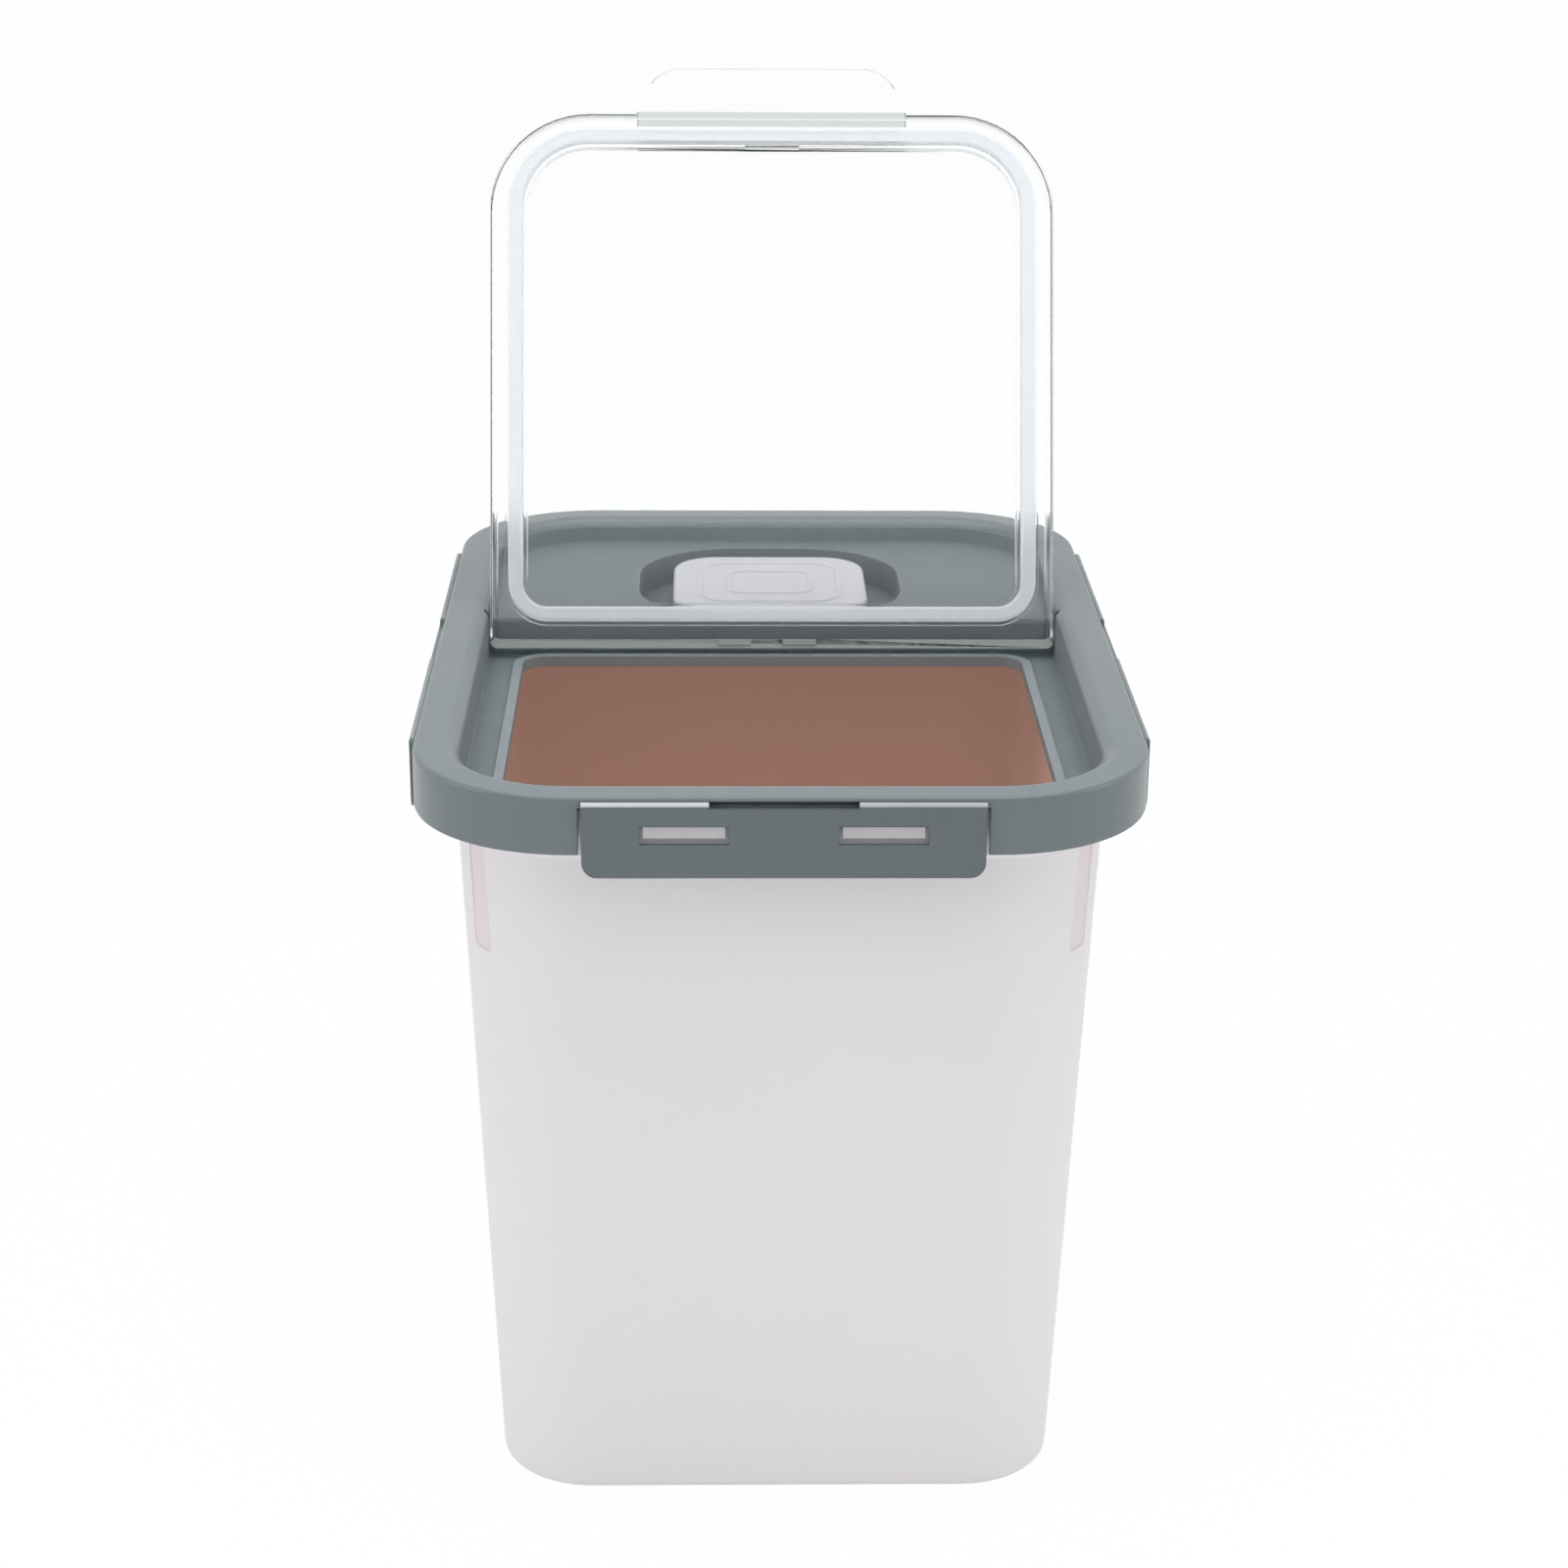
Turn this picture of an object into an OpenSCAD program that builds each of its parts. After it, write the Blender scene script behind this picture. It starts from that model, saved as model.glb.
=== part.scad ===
// Rice bin with a flip lid, shown with the lid open.
// A tapered tub carries a clip-on lid frame. The frame holds a clear flip lid in front,
// a raised deck with a desiccant holder behind, and a latch on each of its four sides.
// Millimetres, +Z up. The origin is the middle of the base on the floor and the front faces -Y.
// "Inset" below is a distance in from the frame's outer face, measured square to it.

/* [Overall] */
// Width of the lid frame over its side faces
frame_w = 240; // [228:2:290]
// Depth of the lid frame over its front and rear faces
frame_d = 340; // [290:2:410]
// Height of the lid frame's top above the floor
frame_top = 263.4; // [180:0.2:340]
// Radius of the lid frame's corners seen from above
corner_r = 52; // [48:1:56]
// How far the flip lid stands open, where 90 is upright
open_angle = 110; // [90:1:112]

/* [Tub] */
// Thickness of the tub's walls and base
tub_wall = 2.2; // [1.6:0.1:2.6]
// Inset of the tub's wall just under its shoulder
tub_inset = 14.2; // [13:0.1:16]
// How much further in the wall stands at the floor
tub_draft = 10.3; // [4:0.1:14]
// Radius of the tub's corners at the floor
base_corner_r = 32; // [26:1:40]
// Radius of the round between wall and base outside
base_round = 2.5; // [1:0.5:8]
// Radius of the round between wall and base inside
base_fillet = 6; // [2:0.5:12]
// Height of the hollow inside the foot ring
foot_h = 1.6; // [1:0.1:3]
// Width of the flat foot ring that the tub stands on
foot_w = 6; // [4:0.5:10]
// Inset of the collar that reaches up into the frame
collar_inset = 7.5; // [7:0.1:8.5]
// How far the collar's top stands below the frame's top
collar_drop = 7; // [6:0.1:9]
// How far the shoulder starts below the frame's top
shoulder_drop = 25.9; // [23:0.1:31]
// Height over which the wall flares out to the collar
shoulder_h = 3.5; // [2.5:0.1:5]
// Width of the shallow channel down each corner
channel_w = 9; // [4:0.5:12]
// Depth of that channel
channel_deep = 0.9; // [0.5:0.1:1.2]
// How far the channel reaches down from the shoulder
channel_len = 36.5; // [15:0.5:60]
// Direction that the channel faces, measured from the side of the tub
channel_turn = 35; // [25:1:65]

/* [Lid frame] */
// Thickness of the frame's walls, floor and deck
frame_wall = 2.2; // [1.8:0.1:2.6]
// Height of the skirt round the outside
skirt_h = 19.4; // [16:0.2:21]
// Width of the rim between its outer face and the recess
rim_band = 15; // [14:0.5:17]
// Width of the flat outer part of the rim's top
rim_flat = 9.2; // [6:0.1:10]
// How far the rim's top rolls down towards the recess
rim_roll = 3.2; // [2:0.1:5]
// Radius of the round at the rim's outer top edge
rim_round = 1.5; // [1:0.1:2]
// Depth of the recess that the lid closes into
recess_depth = 19.4; // [18:0.1:22]
// Length of the rear deck, from its front face to the recess's rear wall
deck_len = 107.6; // [100:0.2:120]
// How far the deck's top stands below the frame's top
deck_drop = 8.9; // [7:0.1:10]
// Radius of the round along the deck's front edge
deck_round = 2; // [1:0.1:2.2]
// How far the lip's outer edge lies inside the seal's outer edge
lip_in = 2.2; // [1:0.1:3]
// Width of the raised lip round the pouring opening
lip_w = 3.6; // [2:0.1:4.5]
// Height of that lip above the recess floor
lip_h = 2; // [1:0.1:3]

/* [Flip lid] */
// Thickness of the lid's panel
panel_t = 2; // [1.5:0.1:3]
// Thickness of the flange round the lid's edge
flange_t = 2.2; // [1.5:0.1:3]
// Thickness of the bar along the lid's rear edge
rear_bar_t = 3.4; // [2.4:0.1:5]
// Height of the flange from its top edge to its lower edge
flange_h = 10; // [8:0.1:11]
// How far the panel lies below the flange's top edge
panel_drop = 2; // [1.5:0.1:3]
// How far the closed lid's top edge stands below the frame's top
lid_drop = 2.4; // [1:0.1:3.4]
// Gap between the closed lid and the walls of the recess
lid_gap = 0.6; // [0.4:0.1:2]
// Radius of the round at the flange's top edge
flange_round = 1.5; // [0.8:0.1:2]
// Radius of the hinge pins on the lid's sides
pin_r = 2.5; // [2:0.1:3]
// Gap between a hinge pin's end and the bottom of its socket
pin_end_gap = 0.3; // [0.1:0.1:1]
// Radial gap between a hinge pin and its socket
pin_play = 0.06; // [0.03:0.01:0.1]
// Height of the hinge pins below the frame's top
pin_drop = 9.4; // [8:0.1:11]
// How far the lid reaches behind the hinge pins
lid_tail = 7.5; // [6:0.1:8]
// Width of the bar that carries the finger tab
snap_bar_w = 100; // [80:1:110]
// Depth of that bar, front to back
snap_bar_d = 5.5; // [4:0.1:7]
// Length of the finger tab in front of the lid
tab_len = 19; // [12:0.1:22]
// Width of the finger tab at its free end
tab_tip_w = 88; // [60:1:96]
// Corner radius of the finger tab's free end
tab_corner = 9.5; // [4:0.5:12]
// Thickness of the finger tab at its border
tab_t = 2; // [1.5:0.1:3]
// Width of the finger tab's thick border
tab_border = 2.8; // [2:0.1:4]
// Gap between the finger tab and the rim under it when the lid is shut
tab_gap = 0.4; // [0.3:0.1:1]

/* [Lid seal] */
// Width of the seal on the flip lid
seal_w = 5.3; // [4:0.1:6]
// Gap from the lid's side edge to the seal
seal_side = 6.9; // [6:0.1:8]
// Gap from the lid's rear edge to the seal
seal_rear = 10; // [8:0.1:12]
// Radius of the seal's outer corners at the hinge end
seal_rear_r = 14.4; // [10:0.1:20]
// Thickness of the ribs that hold the seal
seal_rib_t = 1.2; // [0.8:0.1:2]
// Depth of those ribs below the panel
seal_rib_h = 7; // [4:0.1:8]
// Gap left above the opening's lip when the lid is shut
seal_gap = 0.3; // [0.2:0.1:0.6]
// Width of the break in the inner rib at the front
seal_break = 20; // [10:1:40]

/* [Latches] */
// Thickness of a latch's plate
latch_t = 1.9; // [1.5:0.1:2]
// How far the top of a latch's hinge bead lies below the frame's top
latch_drop = 1.4; // [1:0.1:3]
// Height of a latch from that bead's top to its lower edge
latch_h = 25; // [22:0.5:28]
// Radius of a latch's lower corners
latch_corner = 5; // [2:0.5:9]
// Distance from the end of a front or rear latch to the start of the corner
latch_end_front = 4.5; // [3:0.5:12]
// Distance from the end of a side latch to the start of the corner
latch_end_side = 8; // [3:0.5:20]
// Radius of the bead along a latch's hinge edge
bead_r = 1.1; // [0.9:0.05:1.2]
// Distance of the hinge line outside the frame's face
bead_out = 0.9; // [0.8:0.05:1]
// Radial gap between the bead and its groove
bead_play = 0.08; // [0.03:0.01:0.1]
// Width of the break in the middle of the hinge
hinge_break = 47; // [30:1:60]
// Depth of that break below the bead's top
hinge_break_h = 2.1; // [1.5:0.1:3]
// Gap between a latch's end and the skirt
latch_gap = 1; // [0.6:0.1:2]
// Width of a latch slot
slot_w = 28; // [20:0.5:32]
// Height of a latch slot
slot_h = 6.2; // [5:0.1:8]
// Distance from the bead's top down to the middle of a slot
slot_drop = 10.7; // [9:0.1:13]
// Distance from a front latch's end to its slot
slot_end_front = 18.2; // [12:0.1:24]
// Distance from a side latch's end to its slot
slot_end_side = 36.5; // [20:0.5:60]
// Height of a catch on the tub's collar
catch_h = 4; // [3:0.1:5]
// Gap above a catch inside its slot
catch_gap = 0.4; // [0.3:0.1:1]
// Gap at each end of a catch inside its slot
catch_side = 1; // [0.5:0.1:2]
// How far a catch reaches through the frame's face
catch_out = 1; // [0.5:0.1:1.4]

/* [Desiccant holder] */
// Width of the desiccant cap
cap_w = 74.4; // [64:0.2:78]
// Length of the desiccant cap, front to back
cap_len = 72; // [64:0.2:76]
// Corner radius of the desiccant cap
cap_corner = 17; // [14:0.5:24]
// How far the middle of the cap lies in front of the recess's rear wall
cap_back = 60.5; // [58:0.1:66]
// Inset of the outer ring on the cap
cap_ring_out = 9.5; // [6:0.5:12]
// Inset of the inner ring on the cap
cap_ring_in = 20.5; // [16:0.5:24]
// How far the cap's top stands below the deck; below zero it stands proud
cap_drop = -0.9; // [-1.5:0.1:2]
// Finger gap at the sides of the cap and behind it
pocket_gap = 13; // [10:0.5:14]
// Finger gap in front of the cap
pocket_front = 7; // [5:0.5:8]
// Corner radius of the pocket round the cap
pocket_corner = 36; // [30:0.5:40]
// Depth of the pocket below the deck
pocket_depth = 12; // [9:0.5:14]
// Depth of the cup below the pocket's floor
cup_depth = 11; // [9:0.5:14]
// Thickness of the cup's and the cap's walls
cup_wall = 1.6; // [1.2:0.1:2]
// Width of the flange that hangs the cup in the pocket's floor
cup_flange = 4; // [3:0.1:5]
// Width of a vent slot in the cup
vent_w = 2.6; // [1.6:0.1:3]

/* [Hidden] */
$fn = 72;

// Colours as the photographed bin shows them
tub_colour = [0.88, 0.86, 0.88];
frame_colour = [0.50, 0.54, 0.56];
latch_colour = [0.46, 0.50, 0.52];
clear_colour = [0.80, 0.88, 0.88, 0.45];
seal_colour = [0.93, 0.94, 0.96];
cap_colour = [0.90, 0.90, 0.92];

// Overlap that joins two solids of one piece, and the overshoot of a cut
join = 0.5;
over = 1;
// Overlap that closes the seam between a round and the flats beside it
touch = 0.01;
// Smallest round left inside a wall
least_round = 0.3;
// Steps round each corner of the lofted tub
corner_steps = 16;
// Steps round the tub's base
base_steps = 6;

half_w = frame_w / 2;
half_d = frame_d / 2;

// Heights of the frame
under_top = frame_top - frame_wall;
skirt_bottom = frame_top - skirt_h;
deck_top = frame_top - deck_drop;

// Radius and centre of the round that rolls the rim down into the recess
roll_run = rim_band - rim_flat;
roll_r = (roll_run * roll_run + rim_roll * rim_roll) / (2 * rim_roll);
roll_z = frame_top - roll_r;

// Front of the deck, and the hinge in front of it with room for the lid's tail to swing
deck_front = half_d - rim_band - deck_len;
lid_above_pin = pin_drop - lid_drop;
tail_swing = norm([lid_tail - flange_round, lid_above_pin - flange_round]) + flange_round;
swing_gap = 0.76;
pin_y = deck_front - swing_gap - tail_swing;
pin_z = frame_top - pin_drop;

// The recess is at least as deep as the open lid's tail reaches below its pins
tail_gap = 0.5;
tail_reach = lid_tail * sin(open_angle) - lid_above_pin * cos(open_angle);
recess_floor = min(frame_top - recess_depth, pin_z - tail_reach - tail_gap);
recess_under = recess_floor - frame_wall;
lip_top = recess_floor + lip_h;

// A hinge socket: its boss behind the recess's side wall, and the skin left at its bottom
boss_r = pin_r + 3;
boss_out = 2;
socket_skin = 1;
socket_end = half_w - rim_band + frame_wall + boss_out - socket_skin;

// The closed flip lid
lid_half = half_w - rim_band - lid_gap;
lid_y0 = -half_d + rim_band + lid_gap;
lid_y1 = pin_y + lid_tail;
lid_r0 = corner_r - rim_band - lid_gap;
lid_r1 = flange_t + 0.3;
lid_top = frame_top - lid_drop;
panel_top = lid_top - panel_drop;
panel_under = panel_top - panel_t;
flange_bottom = lid_top - flange_h;
tab_under = frame_top + tab_gap;
tab_top = tab_under + tab_t;

// The seal's outline on the lid, and the opening's lip under its middle line
seal_half = lid_half - seal_side;
seal_y0 = lid_y0 + seal_side;
seal_y1 = lid_y1 - seal_rear;
seal_r0 = lid_r0 - seal_side;
open_in = lip_in + lip_w;

// The tub
shoulder_z = frame_top - shoulder_drop;
collar_z = shoulder_z + shoulder_h;
collar_top = frame_top - collar_drop;
tub_floor = foot_h + tub_wall;
collar_edge = 0.6;
// Radius of the channel's lower corners
channel_soft = 1.5;

// Latches, in the frame of one side: X along the side, -Y outwards from the frame's face
latch_top = frame_top - latch_drop;
hinge_z = latch_top - bead_r;
latch_open_top = latch_top - frame_wall;
latch_face = bead_out + bead_r;
front_latch_half = half_w - corner_r - latch_end_front;
side_latch_half = half_d - corner_r - latch_end_side;
front_slot_x = front_latch_half - slot_end_front - slot_w / 2;
side_slot_x = side_latch_half - slot_end_side - slot_w / 2;
slot_z = latch_top - slot_drop;
catch_top = slot_z + slot_h / 2 - catch_gap;

// The desiccant holder
cap_y = half_d - rim_band - cap_back;
cap_top = deck_top - cap_drop;
pocket_floor = deck_top - pocket_depth;
pocket_y0 = cap_y - cap_len / 2 - pocket_front;
pocket_y1 = cap_y + cap_len / 2 + pocket_gap;
pocket_half = cap_w / 2 + pocket_gap;
flange_top = pocket_floor + cup_wall;
cup_flange_in = 2.5;
hole_in = cup_flange_in + cup_flange;
cup_play = 0.3;
cup_in = hole_in + cup_play;
cup_bottom = pocket_floor - cup_depth;
cap_seat = 0.2;
plug_gap = 1.4;
plug_in = cup_in + cup_wall + plug_gap;
plug_reach = 4;
seal_band = 0.9;

// Outline with its own corner radius in front and behind
module outline(half, y0, y1, r0, r1) {
    translate([-half, y0 + r0]) square([2 * half, y1 - r1 - y0 - r0]);
    translate([r0 - half, y0]) square([2 * (half - r0), r0 + join]);
    translate([r1 - half, y1 - r1 - join]) square([2 * (half - r1), r1 + join]);
    for (side = [-1, 1]) {
        translate([side * (half - r0), y0 + r0]) circle(r0);
        translate([side * (half - r1), y1 - r1]) circle(r1);
    }
}

// Plate of such an outline between two heights
module plate(half, y0, y1, r0, r1, z0, z1) {
    translate([0, 0, z0]) linear_extrude(z1 - z0) outline(half, y0, y1, r0, r1);
}

// One quarter turn of a profile; the profile's x runs in from the outline
module corner_sweep(r, turn) {
    rotate([0, 0, turn]) rotate_extrude(angle = 90) translate([r, 0]) mirror([1, 0]) children();
}

// Sweep of a profile round such an outline: x is the distance in from it and y is the height
module ring_sweep(half, y0, y1, r0, r1) {
    for (side = [0, 1]) mirror([side, 0, 0]) {
        translate([-half, y1 - r1, 0]) rotate([90, 0, 0]) linear_extrude(y1 - r1 - y0 - r0) children();
        translate([r0 - half, y0 + r0, 0]) corner_sweep(r0, 180) children();
        translate([r1 - half, y1 - r1, 0]) corner_sweep(r1, 90) children();
    }
    translate([r0 - half, y0, 0]) rotate([90, 0, 90]) linear_extrude(2 * (half - r0)) children();
    translate([r1 - half, y1, 0]) mirror([0, 1, 0]) rotate([90, 0, 90])
        linear_extrude(2 * (half - r1)) children();
}

// Sweep round the frame's own outline, moved in by an inset
module frame_sweep(inset = 0) {
    r = corner_r - inset;
    ring_sweep(half_w - inset, inset - half_d, half_d - inset, r, r) children();
}

// Plate with the frame's own outline, moved in by an inset
module frame_plate(inset, z0, z1) {
    plate(half_w - inset, inset - half_d, half_d - inset, corner_r - inset, corner_r - inset, z0, z1);
}

// Puts a piece that is drawn at the origin, facing -Y, on one side of the frame
module on_front() { translate([0, -half_d, 0]) children(); }
module on_rear() { translate([0, half_d, 0]) rotate([0, 0, 180]) children(); }
module on_left() { translate([-half_w, 0, 0]) rotate([0, 0, -90]) children(); }
module on_right() { translate([half_w, 0, 0]) rotate([0, 0, 90]) children(); }

// Rounded rectangle of points for one level of the tub
function level(inset, r, z) = [
    for (quarter = [0 : 3], i = [0 : corner_steps])
        let (a = 90 * quarter + 90 * i / corner_steps,
            sx = quarter == 0 || quarter == 3 ? 1 : -1,
            sy = quarter < 2 ? 1 : -1)
        [sx * (half_w - inset - r) + r * cos(a), sy * (half_d - inset - r) + r * sin(a), z]
];

// Share of the way from the shoulder down to the floor, and the wall's inset and corner there
function down(z) = (shoulder_z - z) / shoulder_z;
function wall_inset(z) = tub_inset + tub_draft * down(z);
function wall_corner(z) = corner_r - tub_inset + (base_corner_r - corner_r + tub_inset) * down(z);
function wall_level(more, z) = level(wall_inset(z) + more, wall_corner(z) - more, z);
function collar_level(more, z) = level(collar_inset + more, corner_r - collar_inset - more, z);

// Levels of the tub from the middle of its underside, up the outside and down the inside
base_in = tub_wall + base_fillet;
tub_levels = concat(
    [wall_level(base_round + foot_w + foot_h, foot_h), wall_level(base_round + foot_w, 0)],
    [for (i = [0 : base_steps])
        let (a = 90 * i / base_steps)
        wall_level(base_round * (1 - sin(a)), base_round * (1 - cos(a)))],
    [wall_level(0, shoulder_z), collar_level(0, collar_z), collar_level(0, collar_top - collar_edge),
        collar_level(collar_edge, collar_top), collar_level(tub_wall - collar_edge, collar_top),
        collar_level(tub_wall, collar_top - collar_edge), collar_level(tub_wall, collar_z + tub_wall / 2),
        wall_level(tub_wall, shoulder_z + tub_wall / 2)],
    [for (i = [base_steps : -1 : 0])
        let (a = 90 * i / base_steps)
        wall_level(tub_wall + (base_in - tub_wall) * (1 - sin(a)),
            tub_floor + (base_in - tub_wall) * (1 - cos(a)))]
);

// Closed solid over a stack of levels with flat first and last faces
module loft(levels) {
    n = len(levels[0]);
    last = len(levels) - 1;
    points = [for (ring = levels) each ring];
    faces = concat(
        [[for (i = [0 : n - 1]) i]],
        [for (k = [0 : last - 1], i = [0 : n - 1])
            let (j = (i + 1) % n)
            each [[k * n + i, (k + 1) * n + i, (k + 1) * n + j], [k * n + i, (k + 1) * n + j, k * n + j]]],
        [[for (i = [n - 1 : -1 : 0]) last * n + i]]
    );
    polyhedron(points, faces);
}

// Shallow channel down one corner of the tub, for the one in front on the right
module corner_channel() {
    r = wall_corner(shoulder_z);
    lean = atan(tub_draft / shoulder_z);
    translate([half_w - tub_inset - r, tub_inset + r - half_d, shoulder_z]) rotate([0, 0, -channel_turn])
        rotate([0, lean, 0]) translate([r - channel_deep, 0, 0]) rotate([90, 0, 90])
        linear_extrude(channel_deep + collar_inset) {
            translate([-channel_w / 2, channel_soft - channel_len])
                square([channel_w, channel_len - channel_soft + over]);
            translate([channel_soft - channel_w / 2, -channel_len])
                square([channel_w - 2 * channel_soft, channel_soft + join]);
            for (side = [-1, 1])
                translate([side * (channel_w / 2 - channel_soft), channel_soft - channel_len])
                    circle(channel_soft);
        }
}

// One catch on the collar: a ledge over two gussets, drawn for the front
module catch() {
    w = slot_w - 2 * catch_side;
    reach = collar_inset + tub_wall / 2;
    gusset_t = 1.6;
    translate([-w / 2, -catch_out, catch_top - catch_h]) cube([w, reach + catch_out, catch_h]);
    for (side = [-1, 1]) translate([side * (w / 2 - gusset_t) - gusset_t / 2, 0, 0])
        rotate([90, 0, 90]) linear_extrude(gusset_t)
            polygon([[reach, collar_z + over], [reach, catch_top - over], [3, catch_top - over],
                [3, catch_top - catch_h - over]]);
}

module catches() {
    for (x = [-front_slot_x, front_slot_x]) {
        on_front() translate([x, 0, 0]) catch();
        on_rear() translate([x, 0, 0]) catch();
    }
    for (x = [-side_slot_x, side_slot_x]) {
        on_left() translate([x, 0, 0]) catch();
        on_right() translate([x, 0, 0]) catch();
    }
}

module tub() {
    color(tub_colour) union() {
        difference() {
            loft(tub_levels);
            for (mx = [0, 1], my = [0, 1]) mirror([mx, 0, 0]) mirror([0, my, 0]) corner_channel();
        }
        catches();
    }
}

// Section through the rim, shrunk by t for its inside; x is the inset
module rim_section(t, z0) {
    edge = max(rim_round - t, least_round);
    top = frame_top - t;
    translate([t, z0]) square([rim_band - 2 * t, roll_z - z0]);
    translate([t, roll_z - join]) square([rim_flat - t, top - edge - roll_z + join]);
    translate([t + edge, roll_z - join]) square([rim_flat - t - edge + touch, top - roll_z + join]);
    translate([t + edge, top - edge]) circle(edge);
    intersection() {
        translate([rim_flat, roll_z]) circle(roll_r - t);
        translate([rim_flat, roll_z - join]) square([roll_run - t, roll_r + join]);
    }
}

// The rim as one swept wall: skirt, rolled top and the recess's wall
module rim() {
    frame_sweep() difference() {
        rim_section(0, recess_under);
        rim_section(frame_wall, recess_under - over);
        translate([-over, recess_under - over])
            square([frame_wall + over + touch, skirt_bottom - recess_under + over]);
    }
}

// Two ribs under the rim that hold the frame's seal over the collar
module seal_ribs() {
    rib_t = 1.2;
    rib_gap = 0.2;
    rib_down = 2.6;
    frame_sweep() for (inset = [collar_inset - rib_gap - rib_t, collar_inset + tub_wall + 2 * rib_gap])
        translate([inset, under_top - rib_down]) square([rib_t, rib_down + join]);
}

// Recess floor with its opening, the deck behind it and the deck's front wall
module recess_plates() {
    edge = rim_band - frame_wall / 2;
    difference() {
        union() {
            intersection() {
                frame_plate(edge, recess_under, recess_floor);
                translate([-half_w, -half_d, 0])
                    cube([frame_w, deck_front + frame_wall + half_d, frame_top]);
            }
            intersection() {
                frame_plate(edge, deck_top - frame_wall, deck_top);
                translate([-half_w, deck_front + deck_round, 0]) cube([frame_w, frame_d, frame_top]);
            }
            deck_wall();
        }
        seal_plate(open_in, recess_under - over, recess_floor + over);
        plate(pocket_half, pocket_y0, pocket_y1, pocket_corner, pocket_corner,
            deck_top - frame_wall - over, deck_top + over);
    }
}

// Front wall of the deck with a rounded top edge
module deck_wall() {
    w = 2 * (half_w - rim_band) + frame_wall;
    translate([-w / 2, 0, 0]) rotate([90, 0, 90]) linear_extrude(w) {
        translate([deck_front, recess_under]) square([frame_wall, deck_top - deck_round - recess_under]);
        translate([deck_front + deck_round, deck_top - frame_wall]) square([frame_wall, frame_wall]);
        intersection() {
            translate([deck_front + deck_round, deck_top - deck_round]) circle(deck_round);
            translate([deck_front, deck_top - deck_round - touch])
                square([deck_round + touch, deck_round + touch]);
        }
        translate([deck_front + deck_round, deck_top - deck_round - join])
            square([frame_wall - deck_round + touch, deck_round]);
    }
}

// Plate under the seal's outline, moved in by an inset
module seal_plate(inset, z0, z1) {
    plate(seal_half - inset, seal_y0 + inset, seal_y1 - inset, seal_r0 - inset, seal_rear_r - inset, z0, z1);
}

// Raised lip round the pouring opening
module opening_lip() {
    difference() {
        seal_plate(lip_in, recess_under + join, lip_top);
        seal_plate(open_in, recess_under, lip_top + over);
    }
}

// Pocket round the desiccant cap, with a hole in its floor for the cup
module pocket() {
    t = frame_wall;
    r = cap_corner - hole_in;
    difference() {
        plate(pocket_half + t, pocket_y0 - t, pocket_y1 + t, pocket_corner + t, pocket_corner + t,
            pocket_floor - t, deck_top - join);
        plate(pocket_half, pocket_y0, pocket_y1, pocket_corner, pocket_corner,
            pocket_floor, deck_top + over);
        plate(cap_w / 2 - hole_in, cap_y - cap_len / 2 + hole_in, cap_y + cap_len / 2 - hole_in, r, r,
            pocket_floor - t - over, pocket_floor + over);
    }
}

// Boss behind the recess's side wall for a hinge socket
module socket_boss() {
    translate([half_w - rim_band + frame_wall / 2, pin_y, pin_z]) rotate([0, 90, 0])
        cylinder(r = boss_r, h = frame_wall / 2 + boss_out);
}

// Blind bore of a hinge socket, and the groove that the pin is pushed in through
module socket_cut() {
    lead_w = 3;
    lead_deep = 1.4;
    lead_lean = 17;
    translate([half_w - rim_band - over, pin_y, pin_z]) rotate([0, 90, 0])
        cylinder(r = pin_r + pin_play, h = socket_end - half_w + rim_band + over);
    translate([half_w - rim_band - over, pin_y, pin_z]) rotate([lead_lean, 0, 0])
        translate([0, -lead_w / 2, 0]) cube([over + lead_deep, lead_w, pin_drop + over]);
}

// Opening in the skirt behind one latch, the undercut behind its break and the hinge groove
module latch_cut(half) {
    translate([-half - latch_gap, -over, skirt_bottom - over])
        cube([2 * (half + latch_gap), frame_wall + 2 * over, latch_open_top - skirt_bottom + over]);
    translate([-hinge_break / 2, -over, latch_open_top - over])
        cube([hinge_break, frame_wall + 2 * over, latch_top - latch_open_top + over]);
    translate([-half - latch_gap / 2, -bead_out, hinge_z]) rotate([0, 90, 0])
        cylinder(r = bead_r + bead_play, h = 2 * half + latch_gap);
}

module lid_frame() {
    color(frame_colour) difference() {
        union() {
            rim();
            seal_ribs();
            recess_plates();
            opening_lip();
            pocket();
            for (side = [0, 1]) mirror([side, 0, 0]) socket_boss();
        }
        for (side = [0, 1]) mirror([side, 0, 0]) socket_cut();
        on_front() latch_cut(front_latch_half);
        on_rear() latch_cut(front_latch_half);
        on_left() latch_cut(side_latch_half);
        on_right() latch_cut(side_latch_half);
    }
}

// Seal that lies on the tub's collar under the rim
module frame_seal() {
    top_gap = 0.4;
    wider = 0.1;
    color(seal_colour) frame_sweep() translate([collar_inset - wider, collar_top])
        square([tub_wall + 2 * wider, under_top - collar_top - top_gap]);
}

// Swings the closed lid open about its pins
module opened() {
    translate([0, pin_y, pin_z]) rotate([-open_angle, 0, 0]) translate([0, -pin_y, -pin_z]) children();
}

// Flange section: x in from the lid's edge
module flange_section(t) {
    translate([0, flange_bottom]) square([t, lid_top - flange_round - flange_bottom]);
    translate([flange_round, flange_bottom]) square([t - flange_round, flange_h]);
    intersection() {
        translate([flange_round, lid_top - flange_round]) circle(flange_round);
        translate([0, lid_top - flange_round - touch]) square([flange_round + touch, flange_round + touch]);
    }
}

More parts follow.
